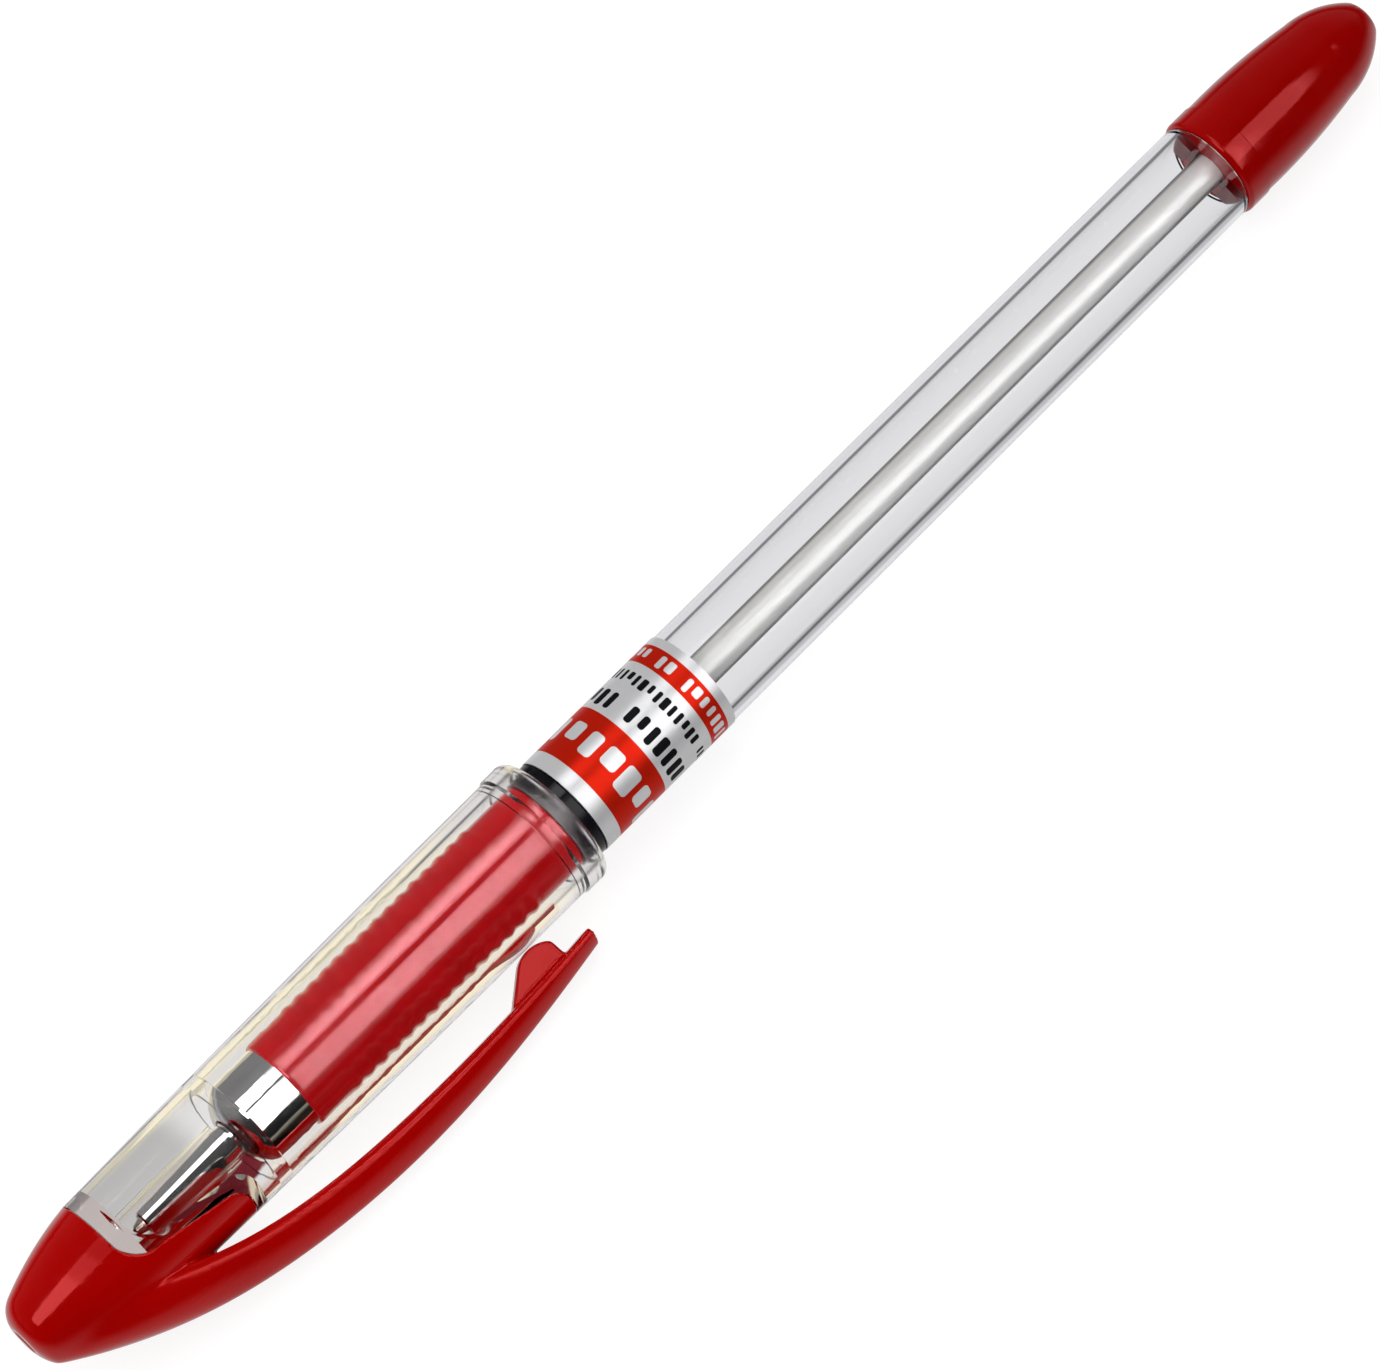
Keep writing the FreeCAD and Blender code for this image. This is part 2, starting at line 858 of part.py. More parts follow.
def make_end_plug():
    """The red plug that closes the barrel and holds the end of the refill."""
    body = new_body("end_plug")
    spigot = size("barrel_bore") - size("plug_play")
    skirt = size("skirt_radius")
    rounding = size("skirt_round")
    step = plug_start + size("skirt_length")
    ledge = skirt - size("step_depth")
    prong_edge = size("prong_round")

    def along(name):
        return between(step, plug_end, size(name + "_share")), size(name + "_radius")

    stretches = [
        To(spigot_start, size("refill_socket")),
        To(spigot_start, spigot - prong_edge),
        Round(
            spigot_start + prong_edge * BOW,
            spigot - prong_edge * BOW,
            spigot_start + prong_edge,
            spigot,
        ),
        To(plug_start, spigot),
        To(plug_start, skirt - rounding),
        Round(
            plug_start + rounding * BOW,
            skirt - rounding * BOW,
            plug_start + rounding,
            skirt,
        ),
        To(step, skirt),
        To(step + size("step_width"), ledge),
        Round(*along("waist"), *along("curve")),
        Round(*along("brow"), *along("dome")),
        Round(*along("dome_top"), plug_end, 0),
        To(refill_end, 0),
        To(refill_end, size("refill_socket")),
    ]
    turned(body, "plug", stretches)
    half = size("prong_gap") / 2.0
    stretches = [
        To(spigot_start - OVERRUN, -half),
        To(spigot_start - OVERRUN, half),
        To(plug_start - prong_edge, half),
        Round(
            plug_start - prong_edge * BOW,
            half - prong_edge * BOW,
            plug_start,
            half - prong_edge,
        ),
        To(plug_start, prong_edge - half),
        Round(
            plug_start - prong_edge * BOW,
            prong_edge * BOW - half,
            plug_start - prong_edge,
            -half,
        ),
    ]
    through_pad(body, "prong_slot", stretches, skirt * 2, cut=True)
    flat = size("prong_width") / 2.0
    for name, inner, outer in (("prong_top", flat, skirt), ("prong_foot", -flat, -skirt)):
        stretches = [
            To(spigot_start - OVERRUN, inner),
            To(spigot_start - OVERRUN, outer),
            To(plug_start, outer),
            To(plug_start, inner),
        ]
        through_pad(body, name, stretches, skirt * 2, cut=True, role="XZ_Plane")
    return body


def resting_turn():
    """How the pen is turned when it lies on a table, touching it in three places.

    The cap's flange and the plug's skirt set the slope of the axis. The pen then rolls
    until the round back of the clip touches at its crest.
    """
    rounding = cap_end - size("flange_round")
    skirt_end = plug_start + size("skirt_length")
    drop = size("flange_radius") - size("skirt_radius")
    slope = math.atan2(drop.value, (skirt_end - rounding).value)
    inner = size("front_radius") + size("crest_rise")
    sagitta = (size("crest_thick") - size("bevel_depth")).value
    half = size("crest_half").value
    back_radius = (half**2 + sagitta**2) / (2 * sagitta)
    back_centre = (inner + size("crest_thick")).value - back_radius
    ahead = (rounding - size("crest_place")).value
    height = size("flange_radius").value + ahead * math.tan(slope)
    roll = math.asin((height - back_radius) / back_centre)
    lean = FreeCAD.Rotation(FreeCAD.Vector(0, 1, 0), math.degrees(slope))
    return lean.multiply(FreeCAD.Rotation(FreeCAD.Vector(1, 0, 0), math.degrees(roll)))


def resting_place(pieces):
    """The placement that lays the pen on the table, with its middle over the origin."""
    turn = FreeCAD.Placement(FreeCAD.Vector(), resting_turn())
    box = FreeCAD.BoundBox()
    for piece in pieces:
        shape = piece.Shape.copy()
        shape.Placement = turn.multiply(shape.Placement)
        box.add(shape.optimalBoundingBox(False, False))
    shift = FreeCAD.Vector(-box.Center.x, -box.Center.y, -box.ZMin)
    return FreeCAD.Placement(shift, turn.Rotation)


def check(item):
    """Stops if an object failed to build, or a piece has no sound shape."""
    broken = [state for state in item.State if state in ("Invalid", "Error")]
    if broken:
        raise RuntimeError(f"{item.Label} is {broken[0]}")
    if item in pieces and (item.Shape.isNull() or not item.Shape.isValid()):
        raise RuntimeError(f"{item.Label} has no sound shape")


pieces = [
    make_barrel(),
    make_end_plug(),
    make_label_sleeve(),
    make_collar_ring(),
    make_grip_sleeve(),
    make_nose_cone(),
    make_refill_tube(),
    make_point_holder(),
    make_writing_point(),
    make_writing_ball(),
    make_ink_column(),
    make_ink_follower(),
    make_cap_body(),
    make_clip_crown(),
]
document.recompute()
for item in document.Objects:
    check(item)

rest = resting_place(pieces)
for piece in pieces:
    piece.Placement = rest.multiply(piece.Placement)
document.recompute()

os.makedirs("parts", exist_ok=True)
for piece in pieces:
    check(piece)
    piece.Shape.exportStep(f"parts/{piece.Label}.step")
    print(piece.Label, len(piece.Shape.Solids), round(piece.Shape.Volume, 2))
print("placed", [round(number, 5) for number in rest.Base], rest.Rotation.toEuler())
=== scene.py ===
"""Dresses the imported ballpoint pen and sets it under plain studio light.

The pen lies on a pale table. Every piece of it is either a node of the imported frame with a
better finish, or a finer mesh that stands for such a node. All finishes are made of shader
nodes that read the object's own coordinates.

Places along the pen are given in mm from the closed end of its cap.
"""

import json
import logging
import math
from abc import ABC, abstractmethod
from dataclasses import dataclass
from enum import Enum

import bmesh
import bpy
from mathutils import Matrix, Vector


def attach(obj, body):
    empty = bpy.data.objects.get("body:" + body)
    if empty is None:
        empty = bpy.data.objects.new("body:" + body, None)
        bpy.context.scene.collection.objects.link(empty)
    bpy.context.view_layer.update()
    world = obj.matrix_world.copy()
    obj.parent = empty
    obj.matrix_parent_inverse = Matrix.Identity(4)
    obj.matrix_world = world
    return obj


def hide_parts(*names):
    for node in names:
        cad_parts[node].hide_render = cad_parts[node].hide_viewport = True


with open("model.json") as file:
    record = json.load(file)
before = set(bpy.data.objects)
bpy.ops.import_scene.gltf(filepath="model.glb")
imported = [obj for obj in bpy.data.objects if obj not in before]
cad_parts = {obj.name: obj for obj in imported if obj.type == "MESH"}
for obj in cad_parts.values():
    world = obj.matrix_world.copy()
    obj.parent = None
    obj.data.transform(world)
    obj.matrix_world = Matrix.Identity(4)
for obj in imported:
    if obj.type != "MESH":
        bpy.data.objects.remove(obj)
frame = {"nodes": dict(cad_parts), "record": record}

LOG = logging.getLogger("pen")
MM = 0.001
Colour = tuple[float, float, float]
Span = tuple[float, float]
Ramp = tuple[float, float, float, float]
BLACK: Colour = (0.0, 0.0, 0.0)
WHITE: Colour = (1.0, 1.0, 1.0)


# Places and directions on the pen


@dataclass(frozen=True)
class PenAxes:
    """The pen's own axes: along it, across it away from the clip, and out of its face.

    The origin is the closed end of the cap, on the pen's axis.
    """

    origin: Vector
    along: Vector
    side: Vector
    face: Vector

    @classmethod
    def from_record(cls, record: dict, ball_place: float = 11.62) -> "PenAxes":
        """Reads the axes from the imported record.

        Args:
            record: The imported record, with the ball's joint and the barrel's mount.
            ball_place: How far the writing ball's centre is from the cap's end, in mm.

        Returns:
            The pen's axes in the row frame.
        """
        joints = {joint["name"]: joint for joint in record["behaviour"]["joints"]}
        mounts = {mount["name"]: mount for mount in record["mounts"]}
        along = Vector(mounts["barrel_shank"]["axis"]).normalized()
        face = Vector(joints["ball_roll"]["axis"]).normalized()
        origin = Vector(joints["ball_roll"]["pos_m"]) - along * ball_place * MM
        return cls(origin, along, face.cross(along), face)

    def at(self, along: float, side: float = 0.0, face: float = 0.0) -> Vector:
        """A place on the pen given in mm, as a point of the row frame in metres."""
        return self.origin + (self.along * along + self.side * side + self.face * face) * MM

    def matrix(self) -> Matrix:
        """Turns a mesh drawn in metres along X, Y and Z into its place on the pen."""
        turn = Matrix((self.along, self.side, self.face)).transposed().to_4x4()
        return Matrix.Translation(self.origin) @ turn


AXES = PenAxes.from_record(frame["record"])


def stand(name: str, data: bpy.types.ID) -> bpy.types.Object:
    """Puts an object with the given data into the scene."""
    thing = bpy.data.objects.new(name, data)
    bpy.context.scene.collection.objects.link(thing)
    return thing


# Building shader and geometry trees


# The node groups that several pieces or finishes share, by a short name.
GROUPS: dict[str, bpy.types.NodeTree] = {}


class Graph:
    """Adds nodes to one tree and joins them."""

    def __init__(self, tree: bpy.types.NodeTree) -> None:
        """Takes the tree that the nodes go into."""
        self.tree = tree

    @classmethod
    def emptied(cls, owner: bpy.types.Material | bpy.types.World) -> "Graph":
        """Starts the graph of a material or a world, with nothing in it."""
        owner.use_nodes = True
        owner.node_tree.nodes.clear()
        return cls(owner.node_tree)

    def add(self, kind: str, inputs: dict | None = None, **settings: object) -> bpy.types.Node:
        """Adds a node.

        Args:
            kind: The node's type. A shader node's may leave out its ShaderNode prefix.
            inputs: Values or output sockets, by the name or number of the input.
            settings: The node's own properties.

        Returns:
            The new node.
        """
        node = self.tree.nodes.new(kind if "Node" in kind else "ShaderNode" + kind)
        for name, value in settings.items():
            setattr(node, name, value)
        for name, value in (inputs or {}).items():
            self.feed(node.inputs[name], value)
        return node

    def group(self, name: str, **values: float) -> bpy.types.NodeOutputs:
        """Adds a shared node group with its own values.

        Returns:
            The group's outputs.
        """
        return self.add("Group", values, node_tree=GROUPS[name]).outputs

    def feed(self, socket: bpy.types.NodeSocket, value: object) -> None:
        """Gives an input a value, or joins it to another node's output."""
        if isinstance(value, bpy.types.NodeSocket):
            self.tree.links.new(value, socket)
        elif isinstance(value, tuple) and socket.type == "RGBA":
            socket.default_value = (*value[:3], 1.0)
        else:
            socket.default_value = value

    def math(self, operation: str, *values: object) -> bpy.types.NodeSocket:
        """The result of a Math node."""
        node = self.add("Math", dict(enumerate(values)), operation=operation)
        return node.outputs[0]

    def times(self, first: object, *others: object) -> bpy.types.NodeSocket:
        """The product of two or more numbers."""
        for other in others:
            first = self.math("MULTIPLY", first, other)
        return first

    def rest(self, share: object) -> bpy.types.NodeSocket:
        """What a share leaves of 1."""
        return self.math("SUBTRACT", 1.0, share)

    def blend(self, share: object, first: object, second: object) -> bpy.types.NodeSocket:
        """A colour between two colours, by a share from 0 to 1."""
        inputs = {0: share, 6: first, 7: second}
        return self.add("Mix", inputs, data_type="RGBA", clamp_factor=True).outputs[2]

    def choose(self, share: object, first: object, second: object) -> bpy.types.NodeSocket:
        """A number between two numbers, by a share from 0 to 1."""
        return self.add("Mix", {0: share, 2: first, 3: second}, data_type="FLOAT").outputs[0]

    def ramp(
        self, value: object, start: float, end: float, low: float = 0.0, high: float = 1.0
    ) -> bpy.types.NodeSocket:
        """A value carried smoothly from one range to another, and held at its ends."""
        inputs = dict(enumerate((value, start, end, low, high)))
        return self.add("MapRange", inputs, interpolation_type="SMOOTHSTEP").outputs[0]

    def span(
        self, value: object, low: float, high: float, soft: float = 0.02
    ) -> bpy.types.NodeSocket:
        """A mask that is 1 where a value lies between two limits, with a soft edge."""
        up = self.ramp(value, low - soft, low + soft)
        return self.times(up, self.ramp(value, high + soft, high - soft))

    def here(self) -> bpy.types.NodeSocket:
        """The place of each point in the object's own coordinates."""
        return self.add("TexCoord").outputs["Object"]

    def noise(
        self, vector: object, scale: float, detail: float = 2.0, rough: float = 0.5
    ) -> bpy.types.NodeSocket:
        """The grey value of a Noise Texture."""
        inputs = {"Vector": vector, "Scale": scale, "Detail": detail, "Roughness": rough}
        return self.add("TexNoise", inputs).outputs[0]

    def mottle(
        self,
        first: Colour,
        second: Colour,
        scale: float,
        detail: float = 3.0,
        rough: float = 0.5,
        limits: Span = (0.3, 0.7),
    ) -> bpy.types.NodeSocket:
        """A colour that wanders between two colours.

        Args:
            first: The colour where the noise is low.
            second: The colour where the noise is high.
            scale: The noise's scale.
            detail: How many finer layers the noise has.
            rough: How strong these layers are.
            limits: The noise's values at which each colour is reached.

        Returns:
            The colour.
        """
        cloud = self.ramp(self.noise(self.here(), scale, detail, rough), *limits)
        return self.blend(cloud, first, second)

    def straight(self, path: bpy.types.NodeOutputs) -> bpy.types.NodeSocket:
        """A share that is 1 for light seen through clear pieces and mirrored by none."""
        turned = self.math("MINIMUM", path["Glossy Depth"], 1.0)
        return self.times(path["Is Transmission Ray"], self.rest(turned))


def shader_group(
    name: str, inputs: dict[str, float], outputs: tuple[str, ...]
) -> tuple[Graph, bpy.types.NodeOutputs, bpy.types.NodeInputs]:
    """Starts a shader node group that takes numbers and gives out numbers.

    Args:
        name: The group's name.
        inputs: The starting value of each number that the group takes.
        outputs: The names of what the group gives out.

    Returns:
        A graph to fill the group with, the sockets that hold what it takes, and the sockets
        for what it gives out.
    """
    tree = bpy.data.node_groups.new(name, "ShaderNodeTree")
    for label, value in inputs.items():
        socket = tree.interface.new_socket(label, in_out="INPUT", socket_type="NodeSocketFloat")
        socket.default_value = value
    for label in outputs:
        tree.interface.new_socket(label, in_out="OUTPUT", socket_type="NodeSocketFloat")
    graph = Graph(tree)
    return graph, graph.add("NodeGroupInput").outputs, graph.add("NodeGroupOutput").inputs


def make_pen_place() -> bpy.types.NodeTree:
    """A group that gives a point's place along the pen in mm, and its share of a turn round it."""
    graph, _, given = shader_group("pen place", {}, ("Along", "Turn"))
    inputs = {0: graph.here(), 1: tuple(AXES.origin)}
    moved = graph.add("VectorMath", inputs, operation="SUBTRACT").outputs[0]
    parts = []
    for axis in (AXES.along, AXES.side, AXES.face):
        dot = graph.add("VectorMath", {0: moved, 1: tuple(axis)}, operation="DOT_PRODUCT")
        parts.append(graph.math("DIVIDE", dot.outputs["Value"], MM))
    along, side, face = parts
    graph.feed(given["Along"], along)
    graph.feed(given["Turn"], graph.math("DIVIDE", graph.math("ARCTAN2", face, side), math.tau))
    return graph.tree


def make_handling() -> bpy.types.NodeTree:
    """A group for the fine marks of moulding and handling on a polished surface.

    It gives a relief of faint ripples and hairline scratches, and a mask of dulled places.
    """
    inputs = {"Ripple": 0.3, "Scratches": 0.2, "Dulling": 0.5}
    graph, taken, given = shader_group("handling marks", inputs, ("Relief", "Dull"))
    place = graph.here()
    ripple = graph.noise(place, 260.0, 1.0)
    stretched = graph.add("Mapping", {"Vector": place, "Scale": (0.12, 1.0, 1.0)})
    scratch = graph.ramp(graph.noise(stretched.outputs[0], 5200.0, 3.0, 0.6), 0.66, 0.78)
    worn = graph.ramp(graph.noise(place, 420.0, 4.0, 0.65), 0.42, 0.7)
    ripple = graph.times(ripple, taken["Ripple"])
    scratch = graph.times(scratch, taken["Scratches"])
    graph.feed(given["Relief"], graph.math("SUBTRACT", ripple, scratch))
    graph.feed(given["Dull"], graph.times(worn, taken["Dulling"]))
    return graph.tree


def make_turning() -> bpy.types.NodeTree:
    """A group for the fine rings that a lathe or a drawing die leaves round a metal piece."""
    inputs = {"Pitch": 0.02, "Depth": 0.5}
    graph, taken, given = shader_group("turning marks", inputs, ("Relief",))
    rings = graph.math("DIVIDE", graph.group("place")["Along"], taken["Pitch"])
    wander = graph.add("TexNoise", {"W": rings, "Scale": 1.0}, noise_dimensions="1D")
    graph.feed(given["Relief"], graph.times(wander.outputs[0], taken["Depth"]))
    return graph.tree


# Finishes


class Finish(ABC):
    """What every finish shares: a material with one Principled shader, and its relief."""

    name: str

    @abstractmethod
    def build(self) -> bpy.types.Material:
        """Makes the material."""

    def start(
        self, fixed: dict[str, object]
    ) -> tuple[bpy.types.Material, Graph, bpy.types.Node, bpy.types.Node]:
        """Makes the material.

        Args:
            fixed: The shader's values that are the same all over the surface.

        Returns:
            The material, its graph, its Principled shader and its output node.
        """
        material = bpy.data.materials.new(self.name)
        graph = Graph.emptied(material)
        shader = graph.add("BsdfPrincipled", fixed)
        output = graph.add("OutputMaterial", {"Surface": shader.outputs[0]})
        return material, graph, shader, output

    @staticmethod
    def relief(
        graph: Graph,
        shader: bpy.types.Node,
        height: object,
        distance: float,
        strength: float = 0.3,
    ) -> None:
        """Turns a height into the shader's normal through a Bump node."""
        bump = graph.add("Bump", {"Height": height, "Distance": distance, "Strength": strength})
        graph.feed(shader.inputs["Normal"], bump.outputs[0])


@dataclass(frozen=True)
class RedPlastic(Finish):
    """Deep red polished plastic, as on the crown, the clip and the plug.

    It has painted shade that deepens towards the plug's end of the pen, and is painted darkest on
    the plug's split skirt.
    """

    name: str = "red plastic"
    deep: Colour = (0.405, 0.0004, 0.0001)
    bright: Colour = (0.455, 0.0006, 0.0001)
    # Painted shade: the share of each channel kept at the plug's end of the pen.
    far: Colour = (0.76, 1.0, 1.0)
    shade_falloff: Span = (20.0, 130.0)
    # Painted shade on the plug's split skirt, which sits in the barrel's bore.
    skirt: Span = (100.0, 130.93)
    skirt_shade: Colour = (0.0, 0.0, 0.001)
    skirt_shade_share: float = 0.72
    shine: Colour = (1.0, 0.16, 0.16)
    roughness: Span = (0.09, 0.15)

    def build(self) -> bpy.types.Material:
        """Makes the material."""
        material, graph, shader, _ = self.start({"IOR": 1.5, "Specular Tint": self.shine})
        along = graph.group("place")["Along"]
        flow = graph.mottle(self.deep, self.bright, 90.0, limits=(0.35, 0.65))
        # Painted shade that deepens towards the plug's end of the pen.
        painted_falloff = graph.blend(graph.ramp(along, *self.shade_falloff), WHITE, self.far)
        inputs = {0: 1.0, 6: flow, 7: painted_falloff}
        colour = graph.add("Mix", inputs, data_type="RGBA", blend_type="MULTIPLY").outputs[2]
        # Painted shade: the split skirt is darkened.
        skirt = graph.times(graph.span(along, *self.skirt, 0.05), self.skirt_shade_share)
        colour = graph.blend(skirt, colour, self.skirt_shade)
        graph.feed(shader.inputs["Base Color"], colour)
        marks = graph.group("marks", Ripple=0.5, Scratches=0.05)
        rough = graph.ramp(marks["Dull"], 0.0, 0.5, *self.roughness)
        graph.feed(shader.inputs["Roughness"], rough)
        self.relief(graph, shader, marks["Relief"], 0.000012)
        return material


@dataclass(frozen=True)
class ClearPlastic(Finish):
    """Clear polished plastic, with a stretch that may be frosted.

    The lamps' light and the light between matt surfaces pass straight through it.
    """

    name: str
    body: Colour
    density: float
    frosted: Span
    frost: float
    index: float = 1.57
    shine: float = 0.1
    roughness: Span = (0.0, 0.02)
    passed: Colour = (0.93, 0.925, 0.91)

    def build(self) -> bpy.types.Material:
        """Makes the material."""
        material, graph, shader, output = self.start(
            {
                "Base Color": WHITE,
                "Transmission Weight": 1.0,
                "IOR": self.index,
                "Specular Tint": (self.shine, self.shine, self.shine),
            }
        )
        marks = graph.group("marks", Ripple=0.1, Scratches=0.3)
        rough = graph.ramp(marks["Dull"], 0.1, 0.6, *self.roughness)
        along = graph.group("place")["Along"]
        frost = graph.times(graph.span(along, *self.frosted, 0.1), self.frost)
        graph.feed(shader.inputs["Roughness"], graph.math("ADD", rough, frost))
        self.relief(graph, shader, marks["Relief"], 0.000002)
        path = graph.add("LightPath").outputs
        passing = graph.math("MAXIMUM", path["Is Shadow Ray"], path["Is Diffuse Ray"])
        through = graph.add("BsdfTransparent", {"Color": self.passed})
        surface = graph.add("MixShader", {0: passing, 1: shader.outputs[0], 2: through.outputs[0]})
        graph.feed(output.inputs["Surface"], surface.outputs[0])
        volume = graph.add("VolumeAbsorption", {"Color": self.body, "Density": self.density})
        graph.feed(output.inputs["Volume"], volume.outputs[0])
        return material


@dataclass(frozen=True)
class GripRubber(Finish):
    """Soft red rubber with a satin sheen."""

    name: str = "grip rubber"
    deep: Colour = (0.5, 0.001, 0.003)
    bright: Colour = (0.58, 0.002, 0.005)
    shine: Colour = (1.0, 0.46, 0.52)
    roughness: Span = (0.12, 0.16)

    def build(self) -> bpy.types.Material:
        """Makes the material."""
        material, graph, shader, _ = self.start(
            {"IOR": 1.5, "Specular IOR Level": 1.0, "Specular Tint": self.shine}
        )
        colour = graph.mottle(self.deep, self.bright, 500.0, 4.0, 0.6)
        graph.feed(shader.inputs["Base Color"], colour)
        grain = graph.noise(graph.here(), 9000.0, 3.0, 0.6)
        graph.feed(shader.inputs["Roughness"], graph.ramp(grain, 0.3, 0.7, *self.roughness))
        self.relief(graph, shader, grain, 0.000003)
        return material


@dataclass(frozen=True)
class Metal(Finish):
    """A metal piece with fine rings round it, which may be painted darker where it turns away.

    Its rim is the share of its dark colour that is left there, as painted shade.
    """

    name: str
    pale: Colour
    dark: Colour
    roughness: float
    pitch: float
    depth: float
    rim: float = 1.0
    metallic: float = 1.0

    def build(self) -> bpy.types.Material:
        """Makes the material."""
        material, graph, shader, _ = self.start({"Metallic": self.metallic})
        cloud = graph.mottle(self.dark, self.pale, 300.0)
        # Painted shade: the colour darkens to the rim share of the dark colour where the surface
        # turns away from the view.
        edge = tuple(self.rim * part for part in self.dark)
        facing = graph.add("LayerWeight", {"Blend": 0.5}).outputs["Facing"]
        colour = graph.blend(graph.ramp(facing, 0.35, 0.65), cloud, edge)
        graph.feed(shader.inputs["Base Color"], colour)
        fine = graph.noise(graph.here(), 8000.0)
        low, high = self.roughness * 0.92, self.roughness * 1.08
        graph.feed(shader.inputs["Roughness"], graph.ramp(fine, 0.2, 0.8, low, high))
        rings = graph.group("turning", Pitch=self.pitch, Depth=self.depth)
        self.relief(graph, shader, rings["Relief"], 0.00001)
        return material


@dataclass(frozen=True)
class PlainPlastic(Finish):
    """A solid-coloured plastic, grease or ink with a little mottle."""

    name: str
    deep: Colour
    bright: Colour
    roughness: float
    clearness: float = 0.0
    shine: float = 0.5

    def build(self) -> bpy.types.Material:
        """Makes the material."""
        material, graph, shader, _ = self.start(
            {"Transmission Weight": self.clearness, "Specular IOR Level": self.shine}
        )
        colour = graph.mottle(self.deep, self.bright, 700.0, 4.0)
        graph.feed(shader.inputs["Base Color"], colour)
        marks = graph.group("marks", Scratches=0.1)
        low, high = self.roughness * 0.85, self.roughness * 1.4
        graph.feed(shader.inputs["Roughness"], graph.ramp(marks["Dull"], 0.0, 0.5, low, high))
        self.relief(graph, shader, marks["Relief"], 0.00001)
        return material


@dataclass(frozen=True)
class BlockRow:
    """A row of plain blocks with rounded corners round the pen, of uneven size.

    The girth is the way round the pen in mm. The tallest and the lowest block are given as
    shares of the row's half height, the narrowest and the widest as shares of a place's width.
    """

    start: float
    end: float
    places: float
    seed: float
    gaps: float = 0.0
    half_heights: Span = (0.5, 0.36)
    half_widths: Span = (0.24, 0.38)
    corner: float = 0.15
    edge: float = 0.02
    girth: float = 27.9

    def mask(self, graph: Graph, along: object, turn: object) -> bpy.types.NodeSocket:
        """Draws the row.

        Args:
            graph: The material's graph.
            along: The place along the pen.
            turn: The share of a turn round the pen.

        Returns:
            A mask that is 1 on the blocks.
        """
        steps = graph.times(graph.math("ADD", turn, 0.5), self.places)
        place = graph.math("FLOOR", steps)
        inputs = {"W": graph.math("ADD", place, self.seed)}
        draw = graph.add("TexWhiteNoise", inputs, noise_dimensions="1D").outputs["Color"]
        draws = graph.add("SeparateXYZ", {0: draw}).outputs
        pitch, tall = self.girth / self.places, self.end - self.start
        across = graph.math("SUBTRACT", graph.math("SUBTRACT", steps, place), 0.5)
        across = graph.math("ABSOLUTE", graph.times(across, pitch))
        half_tall = graph.ramp(draws[0], 0.3, 0.9, *(tall * share for share in self.half_heights))
        half_wide = graph.ramp(draws[1], 0.1, 0.9, *(pitch * share for share in self.half_widths))
        middle = graph.math("SUBTRACT", self.end, half_tall)
        height = graph.math("ABSOLUTE", graph.math("SUBTRACT", along, middle))
        corner = self.corner * tall
        squares = []
        for off, half in ((across, half_wide), (height, half_tall)):
            past = graph.math("ADD", graph.math("SUBTRACT", off, half), corner)
            past = graph.math("MAXIMUM", past, 0.0)
            squares.append(graph.times(past, past))
        reach = graph.math("SQRT", graph.math("ADD", *squares))
        block = graph.ramp(reach, corner + self.edge, corner - self.edge)
        return graph.times(block, graph.math("GREATER_THAN", draws[2], self.gaps))


@dataclass(frozen=True)
class PrintedFoil(Finish):
    """Silver foil printed in red bands, with rows of light and dark blocks."""

    name: str = "printed foil"
    silver: Colour = (0.6, 0.6, 0.61)
    red: Colour = (0.5, 0.012, 0.003)
    black: Colour = (0.006, 0.006, 0.007)
    red_bands: tuple[Span, ...] = ((58.55, 63.45), (68.6, 70.45))
    light: tuple[BlockRow, ...] = (
        BlockRow(59.8, 62.15, places=14.0, seed=5.0),
        BlockRow(68.9, 70.1, places=30.0, seed=61.0, gaps=0.12),
    )
    dark: tuple[BlockRow, ...] = (
        BlockRow(63.95, 65.6, places=25.0, seed=19.0, gaps=0.1),
        BlockRow(66.7, 67.75, places=37.0, seed=40.0, gaps=0.1),
    )
    metallic: float = 0.3
    roughness: Span = (0.28, 0.34)

    def build(self) -> bpy.types.Material:
        """Makes the material."""
        material, graph, shader, _ = self.start({"Specular IOR Level": 0.02})
        place = graph.group("place")
        along, turn = place["Along"], place["Turn"]
        red = graph.math("MAXIMUM", *(graph.span(along, *band) for band in self.red_bands))
        light = graph.math("MAXIMUM", *(row.mask(graph, along, turn) for row in self.light))
        dark = graph.math("MAXIMUM", *(row.mask(graph, along, turn) for row in self.dark))
        colour = graph.blend(graph.times(red, graph.rest(light)), self.silver, self.red)
        graph.feed(shader.inputs["Base Color"], graph.blend(dark, colour, self.black))
        metallic = graph.ramp(dark, 0.0, 1.0, self.metallic, 0.0)
        graph.feed(shader.inputs["Metallic"], metallic)
        brush = graph.add("Mapping", {"Vector": graph.here(), "Scale": (1.0, 0.05, 0.05)})
        streaks = graph.noise(brush.outputs[0], 4000.0)
        graph.feed(shader.inputs["Roughness"], graph.ramp(streaks, 0.3, 0.7, *self.roughness))
        self.relief(graph, shader, streaks, 0.000003, 0.2)
        return material


class Slot(Enum):
    """The record's material slots."""

    BARREL = "clear_barrel"
    CAP = "clear_cap"
    RED = "red_plastic"
    FOIL = "label_foil"
    DARK = "dark_plastic"
    RUBBER = "grip_rubber"
    CHROME = "chrome"
    REFILL = "refill_metal"
    WHITE = "white_plastic"
    POINT = "point_metal"
    BALL = "ball_carbide"
    INK = "red_ink"
    GREASE = "grease"


